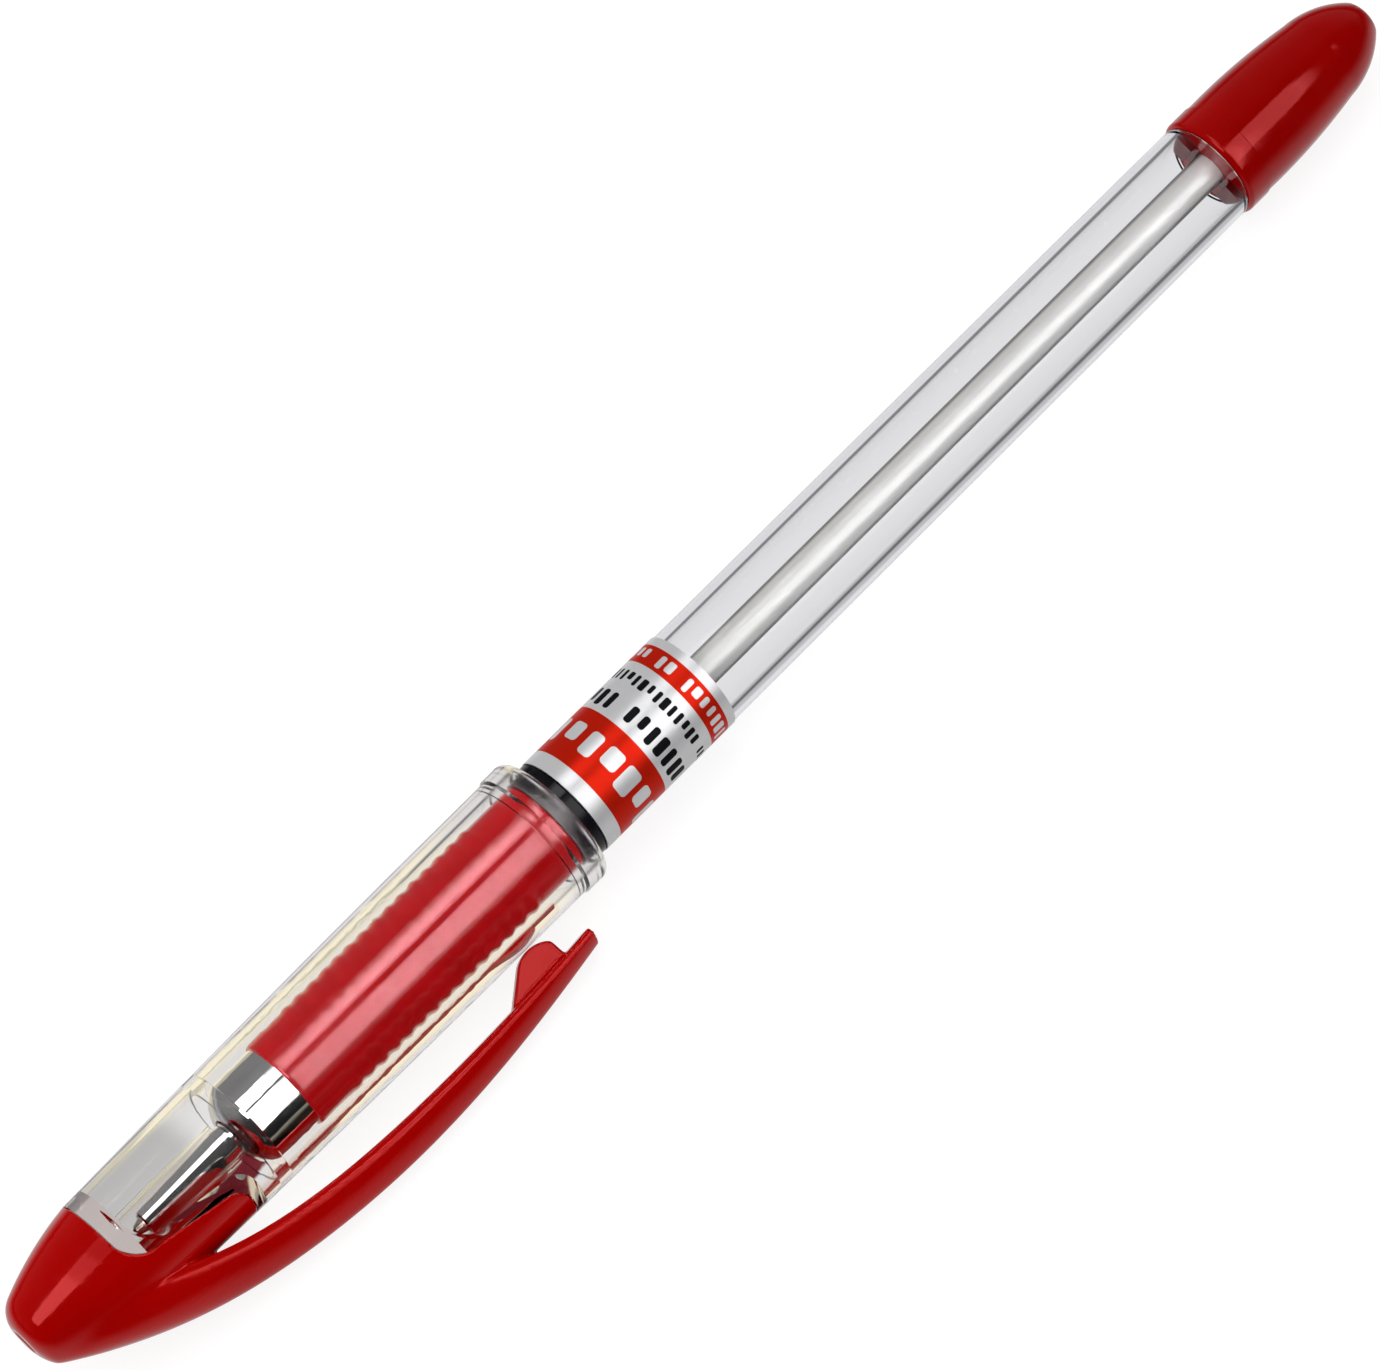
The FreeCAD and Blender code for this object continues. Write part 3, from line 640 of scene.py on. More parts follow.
FINISHES: dict[Slot, Finish] = {
    Slot.BARREL: ClearPlastic(
        "clear barrel", (0.85, 0.84, 1.0), density=100.0, frosted=(53.6, 56.9), frost=0.3
    ),
    Slot.CAP: ClearPlastic(
        "clear cap", (1.0, 0.85, 0.8), density=80.0, frosted=(52.6, 57.5), frost=0.1
    ),
    Slot.RED: RedPlastic(),
    Slot.FOIL: PrintedFoil(),
    Slot.DARK: PlainPlastic(
        "dark plastic", (0.004, 0.004, 0.006), (0.008, 0.008, 0.01), roughness=0.1, shine=0.12
    ),
    Slot.RUBBER: GripRubber(),
    Slot.CHROME: Metal(
        "chrome", (0.9, 0.9, 0.91), (0.84, 0.84, 0.85), roughness=0.045, pitch=0.05, depth=0.08
    ),
    # The satin tube is painted much darker where it turns away, as painted shade.
    Slot.REFILL: Metal(
        "satin tube", (0.75, 0.75, 0.74), (0.71, 0.71, 0.7), roughness=0.38, pitch=0.03,
        depth=0.1, rim=0.25, metallic=0.2,
    ),
    Slot.WHITE: PlainPlastic(
        "white plastic", (0.72, 0.72, 0.7), (0.8, 0.8, 0.78), roughness=0.4
    ),
    Slot.POINT: Metal(
        "point metal", (0.72, 0.68, 0.6), (0.6, 0.56, 0.5), roughness=0.2, pitch=0.04, depth=0.6
    ),
    Slot.BALL: Metal(
        "ball metal", (0.6, 0.6, 0.62), (0.5, 0.5, 0.52), roughness=0.12, pitch=0.02, depth=0.3
    ),
    Slot.INK: PlainPlastic(
        "red ink", (0.3, 0.0, 0.01), (0.4, 0.0, 0.015), roughness=0.2, clearness=0.2
    ),
    Slot.GREASE: PlainPlastic(
        "follower grease", (0.8, 0.75, 0.6), (0.85, 0.8, 0.66), roughness=0.3, clearness=0.5
    ),
}


# The studio


@dataclass(frozen=True)
class Softbox:
    """A flat lamp beside the pen, which is hung twice: to be mirrored, and to light matt pieces.

    Its reach is where it starts and ends along the pen, and its angles are its edges in
    degrees round the pen, from the face towards the clip. Its shine is how bright the one
    looks and its soft light how bright the other is, where 1 is white. It hangs away from the
    pen's axis, in mm.
    """

    name: str
    reach: Span
    angles: Span
    shine: float
    soft: float
    away: float = 470.0

    def hang(self) -> None:
        """Hangs both lamps."""
        self.lamp(self.name + " face", self.shine, True)
        self.lamp(self.name, self.soft, False)

    def lamp(self, name: str, glow: float, mirrored: bool) -> None:
        """Hangs one lamp.

        Args:
            name: The lamp's name.
            glow: How bright its face is, where 1 is white.
            mirrored: Whether shiny surfaces show the lamp. If not, it only lights matt ones.
        """
        low, high = (math.radians(angle) for angle in self.angles)
        middle, half = (low + high) / 2, (high - low) / 2
        away = self.away * math.cos(half)
        out = AXES.face * math.cos(middle) - AXES.side * math.sin(middle)
        centre = AXES.at((self.reach[0] + self.reach[1]) / 2) + out * away * MM
        data = bpy.data.lights.new(name, "AREA")
        data.shape = "RECTANGLE"
        data.size = (self.reach[1] - self.reach[0]) * MM
        data.size_y = 2 * self.away * math.sin(half) * MM
        data.energy = glow * math.pi * data.size * data.size_y
        lamp = stand(name, data)
        lamp.visible_diffuse = not mirrored
        lamp.visible_glossy = lamp.visible_transmission = mirrored
        turn = Matrix((AXES.along, out.cross(AXES.along), out)).transposed().to_4x4()
        lamp.matrix_world = Matrix.Translation(centre) @ turn


@dataclass(frozen=True)
class PaleTable:
    """The pale table. It looks white, and keeps a pale shadow of the pen.

    How bright clear pieces show it depends on how far the light that leaves them leans away
    from the pen's face, from 0 along the face to 1 across it, as over a bright table among
    dark surroundings. Under the cap it shows painted warm light, and beside the crown's tongue
    a painted reflection of the tongue's red. Through the cap's window it is darker as painted
    shade, and beside the barrel on the clip side as a painted shadow of the pen.

    The fields that are ramps or spans hold limits of the lean, of the place along the pen in
    mm, or of the place across it in metres. A change is the share by which the table gets
    brighter or darker there.
    """

    half: float = 1.5
    pale: tuple[Colour, Colour] = ((0.2, 0.2, 0.2), (0.24, 0.24, 0.24))
    bounce: Colour = (0.85, 0.85, 0.85)
    glow: float = 0.86
    mirrored: Ramp = (0.93, 0.45, 0.01, 0.75)
    upright: Ramp = (0.41, 0.3, 0.0, 0.78)
    leaning_at_cap: Ramp = (0.8, 0.42, 0.01, 0.45)
    leaning_at_barrel: float = 0.2
    barrel_start: Span = (53.0, 57.0)
    low_view: Span = (0.6, 0.7)
    low_view_glow: float = 0.7
    bent: Span = (0.12, 0.2)
    # Painted warm light that clear pieces show under the cap.
    warm_lean: Span = (0.05, 0.13)
    warm_reach: Span = (14.0, 53.0)
    warm_soft: float = 3.0
    warm_light_tone: Colour = (1.0, 0.94, 0.72)
    warm_light_change: float = 0.3
    # Painted reflection of the tongue's red, seen through clear pieces beside the tongue.
    tongue_reach: Span = (13.5, 28.3)
    tongue_soft: float = 0.8
    tongue_above: tuple[Span, Span] = ((0.0047, 0.0041), (0.0003, 0.0009))
    tongue_below: Span = (0.0, -0.001)
    tongue_reflection_tone: Colour = (0.2, 0.02, 0.03)
    shade_across: Span = (0.001, -0.002)
    shade_start: Span = (56.0, 60.0)
    shade_change: float = -0.4
    # Painted shade: the table is darker where it is seen through the cap's window.
    window_reach: Span = (3.0, 20.5)
    window_soft: float = 1.5
    window_shade: float = -0.34

    def lay(self) -> None:
        """Lays the table."""
        mesh = bpy.data.meshes.new("table")
        low, high = -self.half, self.half
        corners = [(low, low, 0), (high, low, 0), (high, high, 0), (low, high, 0)]
        mesh.from_pydata([Vector(corner) for corner in corners], [], [(0, 1, 2, 3)])
        table = stand("table", mesh)
        mesh.materials.append(self.finish())

    def finish(self) -> bpy.types.Material:
        """Makes the table's material."""
        material = bpy.data.materials.new("pale table")
        graph = Graph.emptied(material)
        path = graph.add("LightPath").outputs
        clear, camera = path["Is Transmission Ray"], path["Is Camera Ray"]
        place = graph.here()
        across = graph.add("SeparateXYZ", {0: place}).outputs["Y"]
        along = graph.group("place")["Along"]
        lean = self.lean(graph)
        bent = graph.ramp(lean, *self.bent)
        warm = graph.span(along, *self.warm_reach, self.warm_soft)
        warm = graph.times(graph.ramp(lean, *self.warm_lean), warm)
        tongue = graph.times(self.beside_tongue(graph, bent, along, across), clear)
        through = self.brightness(graph, path, lean, bent, along, across, warm)
        facing = graph.add("LayerWeight", {"Blend": 0.5}).outputs["Facing"]
        glow = graph.choose(clear, graph.ramp(facing, *self.mirrored), through)
        glow = graph.choose(camera, glow, self.glow)
        # Painted warm light under the cap, and a painted reflection of the tongue's red beside the
        # tongue.
        tone = graph.blend(graph.times(warm, clear), WHITE, self.warm_light_tone)
        tone = graph.blend(tongue, tone, self.tongue_reflection_tone)
        lit = graph.add("Emission", {"Color": tone, "Strength": glow})
        grain = graph.ramp(graph.noise(place, 900.0, 3.0), 0.2, 0.8, 0.93, 1.0)
        plain = graph.rest(graph.math("MAXIMUM", tongue, path["Is Glossy Ray"]))
        pale = graph.blend(plain, BLACK, graph.blend(grain, *self.pale))
        shown = graph.add("BsdfDiffuse", {"Color": pale})
        both = graph.add("AddShader", {0: shown.outputs[0], 1: lit.outputs[0]})
        bounce = graph.add("BsdfDiffuse", {"Color": self.bounce})
        seen = graph.math("MAXIMUM", camera, graph.math("MAXIMUM", path["Is Glossy Ray"], clear))
        mix = graph.add("MixShader", {0: seen, 1: bounce.outputs[0], 2: both.outputs[0]})
        graph.add("OutputMaterial", {"Surface": mix.outputs[0]})
        return material

    @staticmethod
    def lean(graph: Graph) -> bpy.types.NodeSocket:
        """How far the light leans away from the pen's face, from 0 to 1."""
        face = graph.add("CombineXYZ", dict(enumerate(AXES.face)))
        weight = graph.add("LayerWeight", {"Blend": 0.5, "Normal": face.outputs[0]})
        return weight.outputs["Facing"]

    def beside_tongue(
        self, graph: Graph, bent: object, along: object, across: object
    ) -> bpy.types.NodeSocket:
        """A mask of where clear pieces show the table next to the crown's tongue, with a painted
        reflection of the tongue's red.
        """
        outer, inner = self.tongue_above
        above = graph.times(graph.ramp(across, *outer), graph.ramp(across, *inner))
        beside = graph.choose(bent, above, graph.ramp(across, *self.tongue_below))
        return graph.times(beside, graph.span(along, *self.tongue_reach, self.tongue_soft))

    def brightness(
        self,
        graph: Graph,
        path: bpy.types.NodeOutputs,
        lean: object,
        bent: object,
        along: object,
        across: object,
        warm: object,
    ) -> bpy.types.NodeSocket:
        """How bright clear pieces show the table.

        Args:
            graph: The material's graph.
            path: What the Light Path node gives out.
            lean: How far the light leans away from the pen's face.
            bent: A mask of where it leans at all.
            along: The place along the pen.
            across: The place across the pen.
            warm: The mask of the painted warm light under the cap.

        Returns:
            The brightness, where 1 is white.
        """
        start = graph.ramp(along, *self.barrel_start)
        leaning = graph.ramp(lean, *self.leaning_at_cap)
        least = graph.choose(start, leaning, self.leaning_at_barrel)
        low = graph.times(graph.straight(path), graph.ramp(lean, *self.low_view))
        least = graph.math("MAXIMUM", least, graph.times(low, self.low_view_glow))
        through = graph.math("MAXIMUM", graph.ramp(lean, *self.upright), least)
        shade = graph.times(bent, graph.ramp(across, *self.shade_across))
        shade = graph.times(shade, graph.ramp(along, *self.shade_start))
        # Painted shade through the cap's window.
        window = graph.span(along, *self.window_reach, self.window_soft)
        for mask, change in (
            (shade, self.shade_change),
            (warm, self.warm_light_change),
            (window, self.window_shade),
        ):
            step = graph.math("ADD", graph.times(mask, change), 1.0)
            through = graph.times(through, step)
        return through


@dataclass(frozen=True)
class Studio:
    """The camera, the lamps, the table and the surroundings.

    The camera aims at a place along the pen, tilted towards the cap and rolled in degrees.
    Shiny surfaces mirror surroundings that are dark, and pale on the open side.
    """

    aim: float = 70.9
    aim_side: float = -0.115
    tilt: float = 15.3
    roll: float = 44.74
    distance: float = 421.0
    focal_length: float = 143.5
    sensor_width: float = 36.0
    view_reach: Span = (0.01, 20.0)
    open_side: Span = (-0.25, 0.25)
    dark: Ramp = (0.2, 0.9, 0.01, 0.04)
    open_glow: float = 0.2
    straight_glow: float = 0.8
    fill: float = 0.5
    open_fill: float = 0.45
    softboxes: tuple[Softbox, ...] = (
        Softbox("band softbox", (84.0, 110.0), (-14.5, 38.0), 2.2, 1.8),
        Softbox("grip softbox", (110.0, 168.0), (-6.0, 33.0), 5.4, 1.8),
        Softbox("label softbox", (168.0, 206.0), (-13.0, 40.0), 3.6, 1.8),
        Softbox("tube softbox", (206.0, 300.0), (-6.0, 46.0), 5.8, 1.8),
        Softbox("plug softbox", (300.0, 430.0), (-8.0, 30.0), 4.2, 1.8),
        Softbox("plug softbox end", (430.0, 470.0), (-2.0, 26.0), 3.4, 1.8),
        Softbox("rear band softbox", (70.0, 110.0), (-49.0, -18.5), 2.2, 2.1),
        Softbox("rear grip softbox", (110.0, 168.0), (-43.0, -21.0), 6.6, 2.1),
        Softbox("rear softbox", (168.0, 205.0), (-49.0, -18.5), 5.0, 2.1),
        Softbox("rear softbox middle", (-20.0, 70.0), (-49.0, -18.5), 1.8, 2.1),
        Softbox("nose softbox", (-90.0, -20.0), (-38.0, -4.0), 1.4, 1.9),
        Softbox("nose softbox middle", (-170.0, -90.0), (-38.0, -4.0), 3.4, 1.9),
        Softbox("nose softbox end", (-560.0, -170.0), (-38.0, -4.0), 6.8, 1.9),
    )

    def build(self) -> None:
        """Sets up the whole studio."""
        self.place_camera()
        for softbox in self.softboxes:
            softbox.hang()
        self.surround()
        PaleTable().lay()

    def place_camera(self) -> None:
        """Sets the camera where the photograph was taken from."""
        lean = math.radians(self.tilt)
        back = AXES.face * math.cos(lean) - AXES.along * math.sin(lean)
        flat = (AXES.along - back * AXES.along.dot(back)).normalized()
        turn = math.radians(self.roll)
        right = flat * math.cos(turn) - AXES.side * math.sin(turn)
        up = flat * math.sin(turn) + AXES.side * math.cos(turn)
        data = bpy.data.cameras.new("camera")
        data.lens = self.focal_length
        data.sensor_width = self.sensor_width
        data.clip_start, data.clip_end = self.view_reach
        camera = stand("camera", data)
        turn_matrix = Matrix((right, up, back)).transposed().to_4x4()
        where = AXES.at(self.aim, self.aim_side) + back * self.distance * MM
        camera.matrix_world = Matrix.Translation(where) @ turn_matrix
        bpy.context.scene.camera = camera

    def surround(self) -> None:
        """Lights the surroundings."""
        world = bpy.data.worlds.new("studio")
        graph = Graph.emptied(world)
        direction = graph.add("TexCoord").outputs["Generated"]
        parts = graph.add("SeparateXYZ", {0: direction}).outputs
        open_side = graph.ramp(parts["Y"], *self.open_side)
        dark = graph.ramp(parts["Z"], *self.dark)
        path = graph.add("LightPath").outputs
        seen = graph.choose(open_side, dark, self.open_glow)
        seen = graph.choose(graph.straight(path), seen, self.straight_glow)
        fill = graph.math("ADD", graph.times(open_side, self.open_fill), self.fill)
        lit = graph.choose(path["Is Diffuse Ray"], seen, fill)
        strength = graph.choose(path["Is Camera Ray"], lit, 1.0)
        shade = graph.add("Background", {"Color": WHITE, "Strength": strength})
        graph.add("OutputWorld", {"Surface": shade.outputs[0]})
        bpy.context.scene.world = world


# Pieces made finer than the frame's


@dataclass(frozen=True)
class Ribs:
    """A row of rib rings, with lengths in mm. Those of a plain piece have no height.

    They fade in between two shares of the way from the pen's middle out to its side.
    """

    start: float = 0.0
    pitch: float = 1.0
    count: int = 0
    width: float = 1.0
    height: float = 0.0
    floor: float = 1000.0
    fade: Span = (0.3, 0.85)

    def inputs(self) -> dict[str, float]:
        """The values of the tree's inputs, with lengths in metres."""
        return {
            "Rib Start": self.start * MM,
            "Rib Pitch": self.pitch * MM,
            "Rib Count": float(self.count),
            "Rib Width": self.width * MM,
            "Rib Height": self.height * MM,
            "Rib Floor": self.floor * MM,
            "Rib Fade Start": self.fade[0],
            "Rib Fade End": self.fade[1],
        }


def make_turning_tree() -> bpy.types.NodeTree:
    """A tree that turns a closed profile round the axis and can raise ribs on its outside.

    The profile's points give the place along the axis and the radius. Each rib is a low
    rounded ring that fades out towards the pen's face and its back.

    Returns:
        The Geometry Nodes tree.
    """
    tree = bpy.data.node_groups.new("turned piece", "GeometryNodeTree")
    kinds = {"Profile": "Geometry", "Segments": "Int", "Finish": "Material"}
    kinds.update({label: "Float" for label in Ribs().inputs()})
    for label, kind in kinds.items():
        tree.interface.new_socket(label, in_out="INPUT", socket_type="NodeSocket" + kind)
    tree.interface.new_socket("Piece", in_out="OUTPUT", socket_type="NodeSocketGeometry")
    graph = Graph(tree)
    start = graph.add("NodeGroupInput").outputs
    count = graph.add("GeometryNodeAttributeDomainSize", {0: start["Profile"]}).outputs[0]
    rows = graph.math("ADD", start["Segments"], 1.0)
    sizes = {"Vertices X": graph.math("ADD", count, 1.0), "Vertices Y": rows}
    grid = graph.add("GeometryNodeMeshGrid", sizes).outputs[0]
    index = graph.add("GeometryNodeInputIndex").outputs[0]
    column = graph.math("FLOOR", graph.math("DIVIDE", graph.math("ADD", index, 0.5), rows))
    row = graph.math("SUBTRACT", index, graph.times(column, rows))
    pick = graph.math("MODULO", graph.math("ADD", column, 0.25), count)
    sample = graph.add("GeometryNodeSampleIndex", data_type="FLOAT_VECTOR")
    graph.feed(sample.inputs[0], start["Profile"])
    graph.feed(sample.inputs["Value"], graph.add("GeometryNodeInputPosition").outputs[0])
    graph.feed(sample.inputs["Index"], graph.math("FLOOR", pick))
    parts = graph.add("SeparateXYZ", {0: sample.outputs[0]}).outputs
    along, radius = parts["X"], parts["Y"]
    angle = graph.times(graph.math("DIVIDE", row, start["Segments"]), math.tau)
    side, face = graph.math("COSINE", angle), graph.math("SINE", angle)
    reach = graph.math("ADD", radius, rib_height(graph, start, along, radius, side))
    place = {"X": along, "Y": graph.times(reach, side), "Z": graph.times(reach, face)}
    place = graph.add("CombineXYZ", place).outputs[0]
    moved = graph.add("GeometryNodeSetPosition", {0: grid, "Position": place}).outputs[0]
    inputs = {0: moved, "Distance": 1e-7}
    merged = graph.add("GeometryNodeMergeByDistance", inputs).outputs[0]
    smooth = graph.add("GeometryNodeSetShadeSmooth", {0: merged}).outputs[0]
    real = graph.add("GeometryNodeRealizeInstances", {0: smooth}).outputs[0]
    inputs = {0: real, "Material": start["Finish"]}
    dressed = graph.add("GeometryNodeSetMaterial", inputs).outputs[0]
    graph.add("NodeGroupOutput", {0: dressed})
    return tree


def rib_height(
    graph: Graph,
    start: bpy.types.NodeOutputs,
    along: object,
    radius: object,
    side: object,
) -> bpy.types.NodeSocket:
    """How far the ribs raise a point of a turned piece.

    Args:
        graph: The tree's graph.
        start: The sockets that hold the tree's inputs.
        along: The point's place along the axis.
        radius: Its distance from the axis.
        side: The cosine of its angle round the axis.

    Returns:
        The height in metres.
    """
    places = graph.math("SUBTRACT", along, start["Rib Start"])
    places = graph.math("DIVIDE", places, start["Rib Pitch"])
    last = graph.math("SUBTRACT", start["Rib Count"], 1.0)
    nearest = graph.math("MINIMUM", graph.math("ROUND", places), last)
    nearest = graph.math("MAXIMUM", 0.0, nearest)
    off = graph.math("ABSOLUTE", graph.math("SUBTRACT", places, nearest))
    off = graph.times(off, start["Rib Pitch"])
    half = graph.times(start["Rib Width"], 0.5)
    crest = graph.ramp(graph.math("DIVIDE", off, half), 1.0, 0.0)
    ends = start["Rib Fade Start"], start["Rib Fade End"]
    fade = graph.ramp(graph.math("ABSOLUTE", side), *ends)
    outside = graph.math("GREATER_THAN", radius, start["Rib Floor"])
    return graph.times(crest, fade, outside, start["Rib Height"])


def turn_profile(
    name: str, profile: list[Span], segments: int, material: bpy.types.Material, ribs: Ribs
) -> bpy.types.Object:
    """Turns a closed profile into a piece that lies in its place on the pen.

    Args:
        name: The piece's name.
        profile: Places along the pen and radii, in mm, one closed loop.
        segments: How many flats go round the piece.
        material: The piece's finish.
        ribs: The ribs on its outside.

    Returns:
        The piece, a plain mesh at the origin.
    """
    points = bpy.data.meshes.new(name + " profile")
    points.from_pydata([(x * MM, y * MM, 0.0) for x, y in profile], [], [])
    carrier = stand(name + " carrier", points)
    modifier = carrier.modifiers.new("turning", "NODES")
    modifier.node_group = GROUPS["turned piece"]
    values = {"Segments": segments, "Finish": material, **ribs.inputs()}
    for item in modifier.node_group.interface.items_tree:
        if item.in_out == "INPUT" and item.name in values:
            modifier[item.identifier] = values[item.name]
    mesh = evaluated(carrier)
    bpy.data.objects.remove(carrier)
    mesh.transform(AXES.matrix())
    mesh.name = name
    settle(mesh)
    return stand(name, mesh)


def evaluated(carrier: bpy.types.Object) -> bpy.types.Mesh:
    """The mesh of an object with its modifiers applied."""
    depsgraph = bpy.context.evaluated_depsgraph_get()
    return bpy.data.meshes.new_from_object(carrier.evaluated_get(depsgraph))


def settle(mesh: bpy.types.Mesh, corner: float = 28.0) -> None:
    """Turns a closed mesh's faces outwards and keeps its corners sharp.

    Args:
        mesh: The mesh.
        corner: The least angle between faces, in degrees, that stays a corner.
    """
    work = bmesh.new()
    work.from_mesh(mesh)
    bmesh.ops.remove_doubles(work, verts=work.verts, dist=1e-7)
    bmesh.ops.recalc_face_normals(work, faces=work.faces)
    for face in work.faces:
        face.smooth = True
    limit = math.radians(corner)
    for edge in work.edges:
        edge.smooth = len(edge.link_faces) == 2 and edge.calc_face_angle() < limit
    work.to_mesh(mesh)
    work.free()


def rounded(corner: Span, start: Span, end: Span, steps: int) -> list[Span]:
    """Points of a smooth turn round a corner, from a start to an end."""
    points = []
    for step in range(steps + 1):
        share = step / steps
        weights = ((1 - share) ** 2, 2 * share * (1 - share), share**2)
        x, y = (
            weights[0] * a + weights[1] * b + weights[2] * c
            for a, b, c in zip(start, corner, end)
        )
        points.append((x, y))
    return points


def spread(start: float, end: float, step: float) -> list[float]:
    """Even places from a start up to an end, both among them."""
    count = max(1, round(abs(end - start) / step))
    return [start + (end - start) * number / count for number in range(count + 1)]


def copied(node: str) -> bpy.types.Mesh:
    """A copy of a frame node's mesh, in its place."""
    source = frame["nodes"][node]
    mesh = source.data.copy()
    mesh.transform(source.matrix_world)
    return mesh


def wear(mesh: bpy.types.Mesh, material: bpy.types.Material) -> None:
    """Gives a mesh one material in place of those that it has."""
    mesh.materials.clear()
    mesh.materials.append(material)


@dataclass(frozen=True)
class Barrel:
    """The clear barrel: the tube, its collar, and the narrow section under the grip.

    Each pair is where a stretch of the outside starts or ends along the pen, and its radius.
    """

    thread: Span = (23.35, 2.85)
    section: Span = (26.7, 3.2)
    collar: Span = (54.9, 4.15)
    ring_seat: Span = (56.0, 4.0)
    tube: Span = (57.1, 4.4)
    full: Span = (71.9, 4.43)
    end: float = 130.9
    end_round: float = 0.25
    round_steps: int = 5
    bore: float = 3.55
    bore_front: float = 58.3
    bore_full: float = 60.3
    narrow_bore: float = 1.6
    step: float = 3.0
    segments: int = 256

    def profile(self) -> list[Span]:
        """The barrel's cut, as one closed loop."""
        edge, radius = self.end - self.end_round, self.full[1]
        points = [
            self.thread,
            (self.section[0], self.thread[1]),
            self.section,
            (self.collar[0], self.section[1]),
            self.collar,
            (self.ring_seat[0], self.collar[1]),
            self.ring_seat,
            (self.tube[0], self.ring_seat[1]),
            self.tube,
        ]
        points += [(x, radius) for x in spread(self.full[0], edge, self.step)]
        rim = (self.end, radius - self.end_round)
        points += rounded((self.end, radius), (edge, radius), rim, self.round_steps)[1:]
        points += [(x, self.bore) for x in spread(self.end, self.bore_full, self.step)]
        points += [(self.bore_front, self.narrow_bore), (self.thread[0], self.narrow_bore)]
        return points

    def build(self, material: bpy.types.Material) -> bpy.types.Object:
        """Makes the barrel."""
        piece = turn_profile("clear_barrel", self.profile(), self.segments, material, Ribs())
        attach(piece, "pen")
        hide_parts("barrel")
        return piece


@dataclass(frozen=True)
class Grip:
    """The rubber sleeve with its rib rings."""

    start: float = 26.7
    end: float = 54.9
    radius: float = 4.02
    bore: float = 3.2
    edge: float = 0.3
    round_steps: int = 6
    first_rib: float = 30.775
    pitch: float = 1.35
    count: int = 15
    width: float = 1.3
    height: float = 0.12
    under_ribs: float = 0.01
    step: float = 0.12
    segments: int = 160

    def profile(self) -> list[Span]:
        """The sleeve's cut, as one closed loop."""
        low, high = self.start + self.edge, self.end - self.edge
        top, inner = self.radius, self.radius - self.edge
        points = [(self.start, self.bore)]
        points += rounded((self.start, top), (self.start, inner), (low, top), self.round_steps)
        points += [(x, top) for x in spread(low, high, self.step)[1:]]
        points += rounded((self.end, top), (high, top), (self.end, inner), self.round_steps)[1:]
        points += [(self.end, self.bore)]
        return points

    def build(self, material: bpy.types.Material) -> bpy.types.Object:
        """Makes the sleeve."""
        floor = self.radius - self.under_ribs
        ribs = Ribs(self.first_rib, self.pitch, self.count, self.width, self.height, floor)
        piece = turn_profile("ribbed_grip", self.profile(), self.segments, material, ribs)
        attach(piece, "pen")
        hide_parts("grip_sleeve")
        return piece


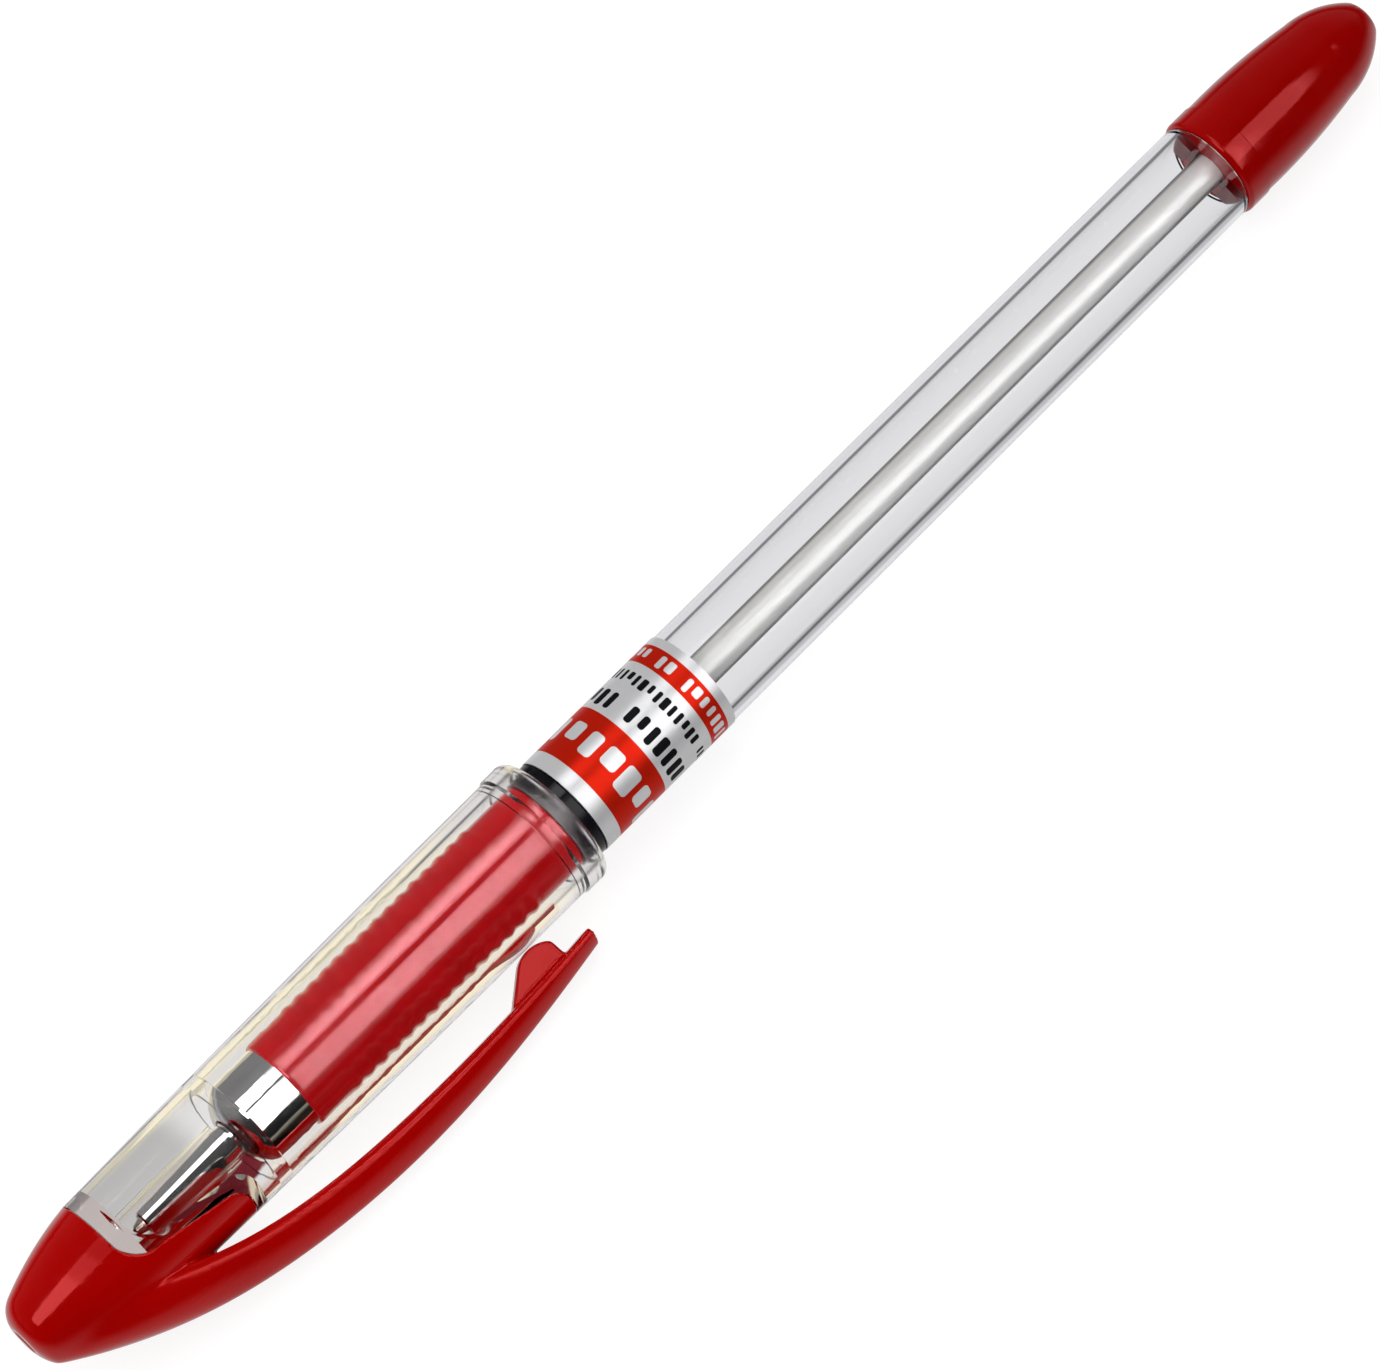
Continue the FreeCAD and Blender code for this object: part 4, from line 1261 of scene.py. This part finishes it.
@dataclass(frozen=True)
class CrownAndClip:
    """The red crown with its clip, remeshed finely so that the clip grows out of the crown.

    The crease between the two is smoothed out from the closed end to where the groove starts,
    and so is the rear corner of the fin under the clip's tip. The clip gets thinner towards
    its back, by a share that grows in from belly_start on over belly_run. Tables hold places
    along the pen and how far off its axis the crease or an edge of the clip is there.
    """

    cell: float = 0.1
    crease: tuple[Span, ...] = ((0.0, 2.7), (5.7, 3.0), (10.0, 4.1))
    crease_reach: float = 1.9
    groove_start: float = 9.6
    groove_past: float = 0.6
    groove_run: float = 1.6
    fin_corner: Span = (49.9, 6.8)
    fin_reach: float = 1.3
    inner: tuple[Span, ...] = (
        (0.0, 2.9), (6.0, 3.6), (10.0, 4.4), (14.0, 5.3), (18.0, 6.3), (22.0, 7.2),
        (26.0, 7.75), (30.0, 8.05), (36.0, 8.2), (42.0, 8.1), (46.0, 7.95), (52.0, 7.65),
    )
    outer: tuple[Span, ...] = (
        (0.0, 3.8), (4.0, 5.5), (8.0, 7.4), (12.0, 8.7), (17.0, 9.8), (21.0, 10.4),
        (26.0, 10.85), (31.0, 10.98), (36.0, 10.9), (41.0, 10.6), (46.0, 10.0), (52.0, 9.2),
    )
    belly: float = 0.5
    belly_start: float = 5.0
    belly_run: float = 8.0
    smoothing: tuple[tuple[str, int], ...] = (("crease", 300), ("fin", 150), ("", 3))
    corner: float = 60.0

    @staticmethod
    def read(table: tuple[Span, ...], along: float) -> float:
        """A value from a table of places and values, in between as well."""
        for (x0, y0), (x1, y1) in zip(table, table[1:]):
            if x0 <= along <= x1:
                return y0 + (y1 - y0) * (along - x0) / (x1 - x0)
        return table[0][1] if along < table[0][0] else table[-1][1]

    def thinned(self, along: float, off: float) -> float:
        """The share of its thickness that the clip keeps, which falls towards its back."""
        inner, outer = self.read(self.inner, along), self.read(self.outer, along)
        share = min(1.0, max(0.0, (off - inner) / (outer - inner)))
        start = min(1.0, max(0.0, (along - self.belly_start) / self.belly_run))
        return 1.0 - self.belly * start * share**2

    def crease_share(self, along: float, off: float) -> float:
        """How strongly a place is smoothed for being near the crease, from 0 to 1."""
        near = max(0.0, 1.0 - abs(off - self.read(self.crease, along)) / self.crease_reach)
        ahead = (self.groove_start + self.groove_past - along) / self.groove_run
        return near * min(1.0, max(0.0, ahead))

    def fin_share(self, along: float, off: float) -> float:
        """How strongly a place is smoothed for being near the fin's corner, from 0 to 1."""
        away = math.hypot(along - self.fin_corner[0], off - self.fin_corner[1])
        return max(0.0, 1.0 - away / self.fin_reach)

    def shape(self, carrier: bpy.types.Object) -> None:
        """Thins the clip and marks what is smoothed, in a vertex group each."""
        groups = [carrier.vertex_groups.new(name=name) for name in ("crease", "fin")]
        for vertex in carrier.data.vertices:
            place = vertex.co - AXES.origin
            along, off = place.dot(AXES.along) / MM, -place.dot(AXES.side) / MM
            drop = place.dot(AXES.face) * (1.0 - self.thinned(along, off))
            vertex.co -= AXES.face * drop
            shares = (self.crease_share(along, off), self.fin_share(along, off))
            for group, share in zip(groups, shares):
                if share > 0.0:
                    group.add([vertex.index], share, "REPLACE")

    def build(self, material: bpy.types.Material) -> bpy.types.Object:
        """Makes the piece."""
        mesh = copied("clip_crown")
        settle(mesh)
        carrier = stand("crown carrier", mesh)
        cells = carrier.modifiers.new("cells", "REMESH")
        cells.mode = "VOXEL"
        cells.voxel_size = self.cell * MM
        mesh = evaluated(carrier)
        carrier.modifiers.clear()
        carrier.data = mesh
        self.shape(carrier)
        for group, rounds in self.smoothing:
            smooth = carrier.modifiers.new(group or "all", "SMOOTH")
            smooth.vertex_group = group
            smooth.factor = 0.5
            smooth.iterations = rounds
        mesh = evaluated(carrier)
        bpy.data.objects.remove(carrier)
        mesh.name = "crown_and_clip"
        settle(mesh, self.corner)
        piece = stand("crown_and_clip", mesh)
        piece.vertex_groups.clear()
        wear(mesh, material)
        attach(piece, "cap")
        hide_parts("clip_crown")
        return piece


@dataclass(frozen=True)
class Plug:
    """The end plug, with the prongs ahead of its shoulder cut to a share of their length."""

    shoulder: float = 130.93
    prong_share: float = 0.4

    def build(self, material: bpy.types.Material) -> bpy.types.Object:
        """Makes the piece."""
        mesh = copied("end_plug")
        for vertex in mesh.vertices:
            along = (vertex.co - AXES.origin).dot(AXES.along) / MM
            if along < self.shoulder:
                back = (self.shoulder - along) * (1.0 - self.prong_share)
                vertex.co += AXES.along * back * MM
        mesh.name = "plug"
        settle(mesh)
        piece = stand("plug", mesh)
        wear(mesh, material)
        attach(piece, "pen")
        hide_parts("end_plug")
        return piece


def main() -> None:
    """Builds the scene."""
    logging.basicConfig(level=logging.INFO, format="%(name)s: %(message)s")
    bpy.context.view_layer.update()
    GROUPS["place"] = make_pen_place()
    GROUPS["marks"] = make_handling()
    GROUPS["turning"] = make_turning()
    GROUPS["turned piece"] = make_turning_tree()
    Studio().build()
    materials = {slot: finish.build() for slot, finish in FINISHES.items()}
    for piece in (
        Barrel().build(materials[Slot.BARREL]),
        Grip().build(materials[Slot.RUBBER]),
        CrownAndClip().build(materials[Slot.RED]),
        Plug().build(materials[Slot.RED]),
    ):
        LOG.info("made %s", piece.name)
    for part in frame["record"]["subparts"]:
        node = frame["nodes"][part["node"]]
        if not node.hide_render:
            wear(node.data, materials[Slot(part["material_slot"])])
            LOG.info("dressed %s", part["node"])
    bpy.context.scene.view_settings.view_transform = "Standard"
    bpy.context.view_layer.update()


if __name__ == "__main__":
    main()
